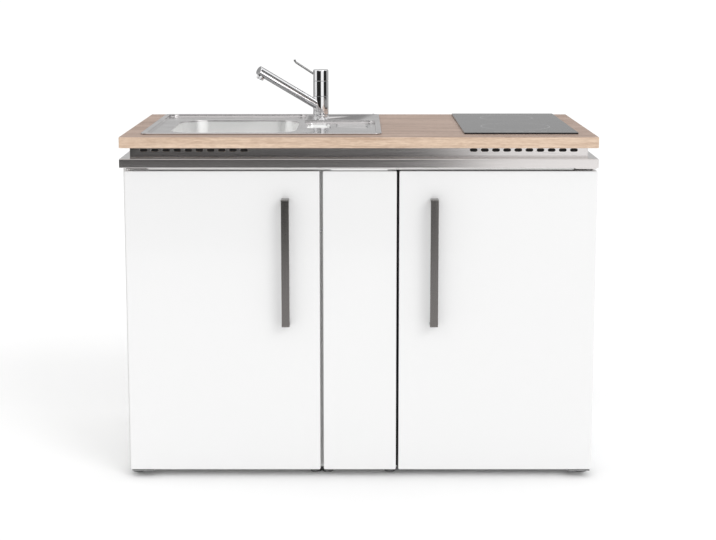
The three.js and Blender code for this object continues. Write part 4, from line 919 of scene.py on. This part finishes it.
class KITCHENETTE_OT_plumbing(bpy.types.Operator):
    """Turn the waste, its strainer and the bottle trap, and bend their pipes"""

    bl_idname = "kitchenette.plumbing"
    bl_label = "Plumbing"

    def execute(self, context):
        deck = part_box("sink")[1].z / MM
        dish = deck - BOWL_DEPTH - DISH_DEPTH
        inlet = dish - WASTE_CUP - WASTE_TAIL
        self.waste(deck, dish)
        self.strainer(dish)
        self.trap(inlet)
        return {"FINISHED"}

    def waste(self, deck, dish):
        """The flanged cup and its tail, with the overflow pipe that joins it."""
        foot = -WASTE_CUP - WASTE_TAIL
        profile = [(18, foot), (20, foot), (20, -54), (25, -54), (26, -53), (26, -46), (25, -45)]
        profile += [(22, -42), (42, -42), (43, -41), (43, 0.3), (54, 0.3), (53.5, 1.7)]
        profile += [(52.4, 2.3), (42.4, 2.3), (41, 1.2), (41, -40), (18, -40)]
        waste = shaped("sink_waste_turned", turned, profile, (*DRAIN, dish), closed=True)
        x, y = TRAY_MIDDLE
        top = deck - RECESS - TRAY_DEPTH - SINK_SHEET - GAP
        low = dish - WASTE_CUP - WASTE_TAIL / 2
        down = BOWL_X[1] + SINK_SHEET + 11
        inlet = DRAIN[0] + 20
        path = [(x, y, top - 4), (x - 4, y, top - 24), ((x + down) / 2, y, top - 46)]
        path += [(down, y, top - 80), (down, y, low + 56), (down - 14, y, low + 16)]
        path += [((down + inlet) / 2, (y + DRAIN[1]) / 2, low)]
        path += [(inlet + 20, DRAIN[1], low), (inlet - 1, DRAIN[1], low)]
        carve(waste, tube("tool", path, 9), "UNION")
        nut = [(12, -24), (12, -8), (16.6, -8), (17, -7.6), (17, 0)]
        carve(waste, tool(turned, nut, (x, y, top), 32), "UNION")
        settle(waste, "sink_waste")

    def strainer(self, dish):
        """The lift-out basket with its knob, bored all over its floor and wall."""
        profile = [(34, -23.4), (36.2, -22.6), (37, -20.4), (37, 2.6), (46.6, 2.6), (47, 3)]
        profile += [(47, 3.4), (46.6, 3.8), (37.2, 3.8), (35.8, 2.6), (35.8, -19.4), (33, -22.2)]
        profile += [(3, -22.2), (3, -6), (8, -3), (8, 2.6), (7.4, 3.8), (5, 4.6)]
        basket = shaped("sink_strainer_turned", turned, profile, (*DRAIN, dish))
        holes = begin("tool")
        for radius, count in ((12, 8), (20, 14), (28, 20)):
            for x, y in around(count):
                at = DRAIN[0] + radius * x, DRAIN[1] + radius * y, 0
                turned([(2, dish - 25), (2, dish - 20.5)], at, 10)
        carve(basket, close_up(holes))
        holes = begin("tool")
        for x, y in around(18):
            way = Vector((x, y, 0))
            for level in (-15, -8.5):
                at = Vector((*DRAIN, dish + level))
                bar(at + way * 33, at + way * 40, 2.2, 10)
        carve(basket, close_up(holes))
        settle(basket, "sink_strainer")

    def trap(self, inlet):
        """The bottle with its ribbed cup and nut, and the outlet to the wall."""
        profile = [(24, -TRAP_HEIGHT), (30, -113), (32, -107), (32, -89), (31, -87.4), (29, -87)]
        profile += [(29, -24), (27.6, -16), (26, -12), (26.6, -11.4), (26.6, 11), (26, 12)]
        profile += [(20.4, 12), (20.4, -0.3)]
        trap = shaped("bottle_trap_turned", turned, profile, (*DRAIN, inlet))
        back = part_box("bottle_trap")[1].y / MM
        z = inlet - TRAP_HEIGHT / 3
        path = [(DRAIN[0], DRAIN[1] + 16, z), (DRAIN[0], DRAIN[1] + 64, z)]
        path += [(DRAIN[0], back - 44, z - 6), (DRAIN[0], back, z - 6)]
        outlet = tube("tool", path, 16)
        carve(outlet, tool(bar, (DRAIN[0], back - 60, z - 6), (DRAIN[0], back + 2, z - 6), 13.8))
        carve(trap, outlet, "UNION")
        collar = (DRAIN[0], DRAIN[1] + 27, z), (DRAIN[0], DRAIN[1] + 48, z)
        carve(trap, tool(bar, *collar, 21, 40, 1, 1), "UNION")
        mode("EDIT")
        for radius, low, high in ((30.9, -108, -90), (26, -9, 10)):
            for x, y in around(16):
                at = DRAIN[0] + radius * x, DRAIN[1] + radius * y
                bar((*at, inlet + low), (*at, inlet + high), 1.1, 8)
        settle(close_up(trap), "bottle_trap")


class KITCHENETTE_OT_hob(bpy.types.Operator):
    """Round the edges of the glass hob and its pan"""

    bl_idname = "kitchenette.hob"
    bl_label = "Hob"

    def execute(self, context):
        refine_all(0.4, "hob_glass", "hob_base")
        return {"FINISHED"}


class KITCHENETTE_OT_cabinets(bpy.types.Operator):
    """Round the edges of the boards, turn the feet and add the strips, the dark foam of painted
    shade and the end caps
    """

    bl_idname = "kitchenette.cabinets"
    bl_label = "Cabinets"

    def execute(self, context):
        for node in node_slots():
            if node.startswith(("sink_cabinet", "pullout_cabinet")):
                refine(node, 0.5)
            if node.startswith("foot_"):
                self.foot(node)
        refine("door_catch", 0.3)
        self.stretcher()
        self.trims()
        return {"FINISHED"}

    def trims(self):
        """The strip over the fronts, dark foam beside the refrigerator and behind the vents that
        paints shade into those gaps, and the grey end caps of the surround."""
        low, high = box("steel_surround")
        front = box("left_door")[0].y
        left, right = box("left_top_hinge_plate")[1].x, box("right_top_hinge_plate")[0].x
        top = low.z - GAP
        ends = (left + 1, front + 3, top - 5), (right - 1, front + 13, top)
        strip = shaped("front_strip", block, *ends)
        soften(strip, 0.4)
        addition(strip, "sink_cabinet_left_side", "white_board")
        # A dark foam strip in the gap beside the refrigerator: painted shade in that gap.
        start, end = box("pullout_cabinet_right_side")
        ends = (end.x - 5, start.y - 3, start.z + 4), (end.x, start.y, end.z - 4)
        seal = shaped("gap_painted_shade_strip", block, *ends)
        addition(seal, "pullout_cabinet_right_side", "grey_plastic", "dark_foam")
        rail = box("rear_rail")[1].x
        inset = SURROUND_SHEET + GAP
        floor, back = low.z + inset, (high.y - 6, high.y - 3)
        for name, turn in (("left", -1), ("right", 1)):
            edges = sorted((turn * (rail + GAP), turn * (high.x - RISER_SIDE - inset)))
            ends = (edges[0], back[0], floor), (edges[1], back[1], high.z - inset)
            cap = shaped("surround_end_" + name, block, *ends)
            edges = sorted((turn * (rail + 2), turn * (high.x - inset)))
            foot = (edges[0], back[0], floor), (edges[1], back[1], LEDGE - inset)
            carve(cap, tool(block, *foot), "UNION")
            addition(cap, "steel_surround", "grey_plastic")
        riser = low.y + RISER_SETBACK + inset
        # Dark foam behind the vent slots: painted shade, so that the slots show dark.
        for name, turn in (("left", -1), ("right", 1)):
            edges = sorted(turn * x for x in VENT_X)
            ends = (edges[0], riser, VENT_Z[0]), (edges[1], riser + 2, VENT_Z[1])
            screen = shaped("vent_shade_screen_" + name, block, *ends)
            addition(screen, "steel_surround", "grey_plastic", "dark_foam")

    def stretcher(self):
        """The rail that joins the sides of the sink cabinet at the top, behind the door."""
        start, end = box("sink_cabinet_left_side")
        right = box("sink_cabinet_right_side")[0].x
        top = end.z - HINGE_PLATE - GAP
        ends = (end.x, start.y, top - 34), (right, start.y + 16, top)
        rail = shaped("sink_cabinet_stretcher", block, *ends)
        soften(rail, 0.5)
        addition(rail, "sink_cabinet_left_side", "white_board")

    def foot(self, node):
        """A wide pad, its lock nut and the stem."""
        low, high = box(node)
        pad = (high.x - low.x) / 2
        place = ((low.x + high.x) / 2, (low.y + high.y) / 2, 0)
        profile = [(pad - 1, 0), (pad, 0.8), (pad, 4), (pad - 0.8, 5), (12.2, 6), (11.4, 6.6)]
        profile += [(11.4, 11.5), (9.5, 12), (9.5, high.z)]
        settle(shaped(node + "_turned", turned, profile, place, 40), node)


class KITCHENETTE_OT_fronts(bpy.types.Operator):
    """Round the edges of the fronts, handles and hinge plates"""

    bl_idname = "kitchenette.fronts"
    bl_label = "Fronts"

    def execute(self, context):
        refine_all(0.5, "left_door", "right_door", "pullout_front")
        for side in ("left_", "right_"):
            refine_all(0.3, side + "handle", side + "top_hinge_plate")
            refine(side + "bottom_hinge_plate", 0.3, finish="foot_metal")
        return {"FINISHED"}


class KITCHENETTE_OT_pullout(bpy.types.Operator):
    """Round the edges of the bottle pull-out's runner, frame and baskets"""

    bl_idname = "kitchenette.pullout"
    bl_label = "Bottle pull-out"

    def execute(self, context):
        refine_all(0.3, "runner_fixed", "runner_middle", "pullout_frame")
        refine_all(0.3, "basket_lower", "basket_upper")
        return {"FINISHED"}


class KITCHENETTE_OT_refrigerator(bpy.types.Operator):
    """Round the edges inside the refrigerator and form its cooling circuit"""

    bl_idname = "kitchenette.refrigerator"
    bl_label = "Refrigerator"

    def execute(self, context):
        refine("fridge_body", 1.2, 3)
        refine("right_door_liner", 1, 3)
        refine("right_door_gasket", 0.8)
        refine_all(0.5, "door_rack_lower", "door_rack_upper")
        refine_all(0.5, "fridge_shelf_lower", "fridge_shelf_upper", "thermostat_knob")
        low, high = box("thermostat_knob")
        x = (low.x + high.x) / 2
        ends = (x - 0.8, low.y - 0.3, high.z - 11), (x + 0.8, low.y + 0.6, high.z - 4)
        addition(shaped("thermostat_pointer", block, *ends), "thermostat_knob", "grey_plastic")
        self.condenser()
        self.compressor()
        return {"FINISHED"}

    def condenser(self):
        """A tube bent to and fro, with wires welded across it, on two straps."""
        low, high = box("condenser")
        pitch, runs, radius, wire = 72, 6, 3, 0.8
        y = high.y - wire * 2 - radius + 0.4
        start = low.z + 16
        left, right = low.x + pitch / 2 + radius, high.x - pitch / 2 - radius
        path = []
        for run in range(runs):
            ends = (left, right) if run % 2 == 0 else (right, left)
            z = start + run * pitch
            inward = (ends[1] - ends[0]) / 8
            path += [(ends[0], y, z), (ends[0] + inward, y, z)]
            path += [(ends[1] - inward, y, z), (ends[1], y, z)]
            if run == runs - 1:
                break
            side = 1 if run % 2 == 0 else -1
            for step in range(1, 6):
                angle = math.pi * step / 6
                reach = side * pitch / 2 * math.sin(angle)
                path.append((ends[1] + reach, y, z + pitch / 2 * (1 - math.cos(angle))))
        coil = tube("condenser_bent", path, radius, 5)
        mode("EDIT")
        top = start + (runs - 1) * pitch
        count = 25
        for step in range(count):
            x = left + 8 + step * (right - left - 16) / (count - 1)
            for side in (-1, 1):
                at = y + side * (radius + wire * 0.5)
                bar((x, at, start - 12), (x, at, top + 12), wire, 6)
        half = (right - left) / 2
        for x in ((left + right) / 2 - half * 0.8, (left + right) / 2 + half * 0.8):
            block((x - 7, low.y, start - 16), (x + 7, y - 1, top + 16))
        settle(close_up(coil), "condenser")

    def compressor(self):
        """The welded steel pot on its plate, with rubber feet, terminal box and pipe stubs."""
        low, high = box("compressor")
        x, y = (low.x + high.x) / 2, (low.y + high.y) / 2
        radius, base = (high.y - low.y) / 2 - 4, low.z
        height = high.z - low.z
        pot = begin("compressor_formed")
        profile = [(0.7, 0.09), (0.82, 0.10), (0.93, 0.14), (0.98, 0.20), (1, 0.3), (1, 0.44)]
        profile += [(1.06, 0.45), (1.062, 0.46), (1.062, 0.485), (1.06, 0.495), (1, 0.505)]
        profile += [(0.99, 0.62), (0.95, 0.74), (0.87, 0.83), (0.72, 0.91), (0.53, 0.96)]
        profile += [(0.34, 0.985), (0.15, 0.997), (0.05, 1)]
        turned([(r * radius, z * height) for r, z in profile], (x, y, base), 56)
        half = radius * 1.28, radius * 0.78
        block((x - half[0], y - half[1], base), (x + half[0], y + half[1], base + 2.4), 14)
        for side in (-1, 1):
            for end in (-1, 1):
                at = x + side * radius * 0.6, y + end * radius * 0.4
                bar((*at, base + 1), (*at, base + height * 0.2), 9, 24, 0, 1)
                at = x + side * (half[0] - 11), y + end * (half[1] - 11)
                bar((*at, base), (*at, base + 10), 8, 24, 0, 1.5)
                bar((*at, base + 8), (*at, base + 13), 3.4, 6)
        block((low.x + 2, y - 24, base + 42), (x - radius * 0.8, y + 24, base + 96), 3, 3)
        for across, along in ((0.55, 0.62), (0.35, -0.72), (-0.1, -0.8)):
            at = Vector((x + across * radius, y + along * radius, base + height * 0.8))
            bar(at, at + Vector((0, 0, height * 0.19)), 3.2, 16, 0, 0.6)
        settle(close_up(pot), "compressor")


class KITCHENETTE_OT_studio(bpy.types.Operator):
    """Set up the floor, the soft light and the camera"""

    bl_idname = "kitchenette.studio"
    bl_label = "Studio"

    def execute(self, context):
        studio = settings("studio")
        bpy.ops.object.select_all(action="DESELECT")
        depth = studio.floor_front + studio.floor_back
        bpy.ops.mesh.primitive_plane_add(
            size=1, location=(0, (studio.floor_back - studio.floor_front) / 2, 0)
        )
        floor = context.object
        floor.name = "studio_floor"
        floor.scale = (studio.floor_width, depth, 1)
        bpy.ops.object.transform_apply(location=True, rotation=True, scale=True)
        paint = Finish("studio_floor", studio.floor_colour, 0.9, Specular_IOR_Level=0.0)
        mottle = paint.place.noise(3, 3, 3, 2, 0.5)
        paint.feed("Roughness", mottle.smooth(0.3, 0.7, 0.85, 0.95))
        floor.data.materials.append(paint.material)
        self.light(context, studio)
        self.surroundings(context, studio)
        self.camera(context, studio)
        return {"FINISHED"}

    def light(self, context, studio):
        """A broad soft light from the front right, the same all over the floor."""
        bpy.ops.object.light_add(type="SUN", location=(2.4, -2.6, 2.4))
        key = context.object
        key.name = "key_light"
        key.data.energy = studio.key_strength
        key.data.angle = math.radians(28)
        key.rotation_euler = (-key.location).to_track_quat("-Z", "Y").to_euler()

    def surroundings(self, context, studio):
        """White all round, with dark and bright panels that only reflections see.

        Azimuths are in degrees from the unit's front to its right, and a height is the sine of
        an elevation."""
        world = bpy.data.worlds.new("studio")
        context.scene.world = world
        world.use_nodes = True
        tree = world.node_tree
        tree.nodes.clear()
        start = Value(tree)
        way = start.add("TexCoord", output="Generated")
        azimuth = way.part(0).math("ARCTAN2", way.part(1) * -1) * (180 / math.pi)
        away = abs(azimuth)
        height = way.part(2)
        below = height.smooth(-0.106, -0.13)
        right = azimuth.smooth(3.7, 4.8) * azimuth.smooth(47, 42)
        left = azimuth.smooth(-60, -64) * azimuth.smooth(-95, -90)
        wall = height.smooth(0.03, 0.09, 0.42, 0.58) - height.smooth(0.16, 0.3) * 0.28
        panels = right + left + away.smooth(93, 99) * wall
        ceiling = height.smooth(0.55, 0.75)
        window = height.smooth(0.17, 0.23) * away.smooth(30, 22)
        side = height.smooth(0.28, 0.36) * away.smooth(78, 84) * away.smooth(135, 128)
        horizon = height.smooth(0.04, 0.1) * height.smooth(0.19, 0.13) * away.smooth(12, 17) * 0.6
        for light in (ceiling, window, side, horizon):
            panels = panels.math("MAXIMUM", light)
        level = panels * 0.96 + below * 0.17 + 0.02
        path = "LightPath"
        glossy = start.add(path, output="Is Glossy Ray")
        seen = start.add(path, output="Is Camera Ray")
        plain = seen * (1.05 - studio.ambient) + studio.ambient
        strength = glossy * level + (1 - glossy) * plain
        background = start.add("Background", None, {"Color": (1, 1, 1, 1), "Strength": strength})
        output = tree.nodes.new("ShaderNodeOutputWorld")
        tree.links.new(background.socket, output.inputs[0])

    def camera(self, context, studio):
        """The photograph's viewpoint: in front of the unit, looking down on its top."""
        bpy.ops.object.camera_add(
            location=(-0.0021, -studio.camera_distance, studio.camera_height),
            rotation=(math.pi / 2 - studio.camera_pitch, 0, 0),
        )
        camera = context.object
        camera.name = "camera"
        camera.data.lens = studio.lens
        camera.data.sensor_width = 36
        camera.data.shift_y = -0.12
        context.scene.camera = camera
        context.scene.view_settings.view_transform = "Standard"


class KITCHENETTE_PT_panel(bpy.types.Panel):
    """The unit's pieces and settings in the sidebar"""

    bl_idname = "KITCHENETTE_PT_panel"
    bl_label = "Kitchenette"
    bl_space_type = "VIEW_3D"
    bl_region_type = "UI"
    bl_category = "Kitchenette"

    def draw(self, context):
        for operator in OPERATORS:
            self.layout.operator(operator.bl_idname)
        for name, group in SETTINGS.items():
            section = self.layout.box()
            section.label(text=group.__doc__)
            for field in group.__annotations__:
                section.prop(getattr(context.scene, name), field)


OPERATORS = [
    KITCHENETTE_OT_finishes,
    KITCHENETTE_OT_worktop,
    KITCHENETTE_OT_sink,
    KITCHENETTE_OT_tap,
    KITCHENETTE_OT_plumbing,
    KITCHENETTE_OT_hob,
    KITCHENETTE_OT_cabinets,
    KITCHENETTE_OT_fronts,
    KITCHENETTE_OT_pullout,
    KITCHENETTE_OT_refrigerator,
    KITCHENETTE_OT_studio,
]


def register():
    for cls in [*SETTINGS.values(), *OPERATORS, KITCHENETTE_PT_panel]:
        bpy.utils.register_class(cls)
    for name, group in SETTINGS.items():
        setattr(bpy.types.Scene, name, PointerProperty(type=group))


def unregister():
    for name in SETTINGS:
        delattr(bpy.types.Scene, name)
    for cls in reversed([*SETTINGS.values(), *OPERATORS, KITCHENETTE_PT_panel]):
        bpy.utils.unregister_class(cls)


def main():
    register()
    for operator in OPERATORS:
        group, name = operator.bl_idname.split(".")
        getattr(getattr(bpy.ops, group), name)()


if __name__ == "__main__":
    main()
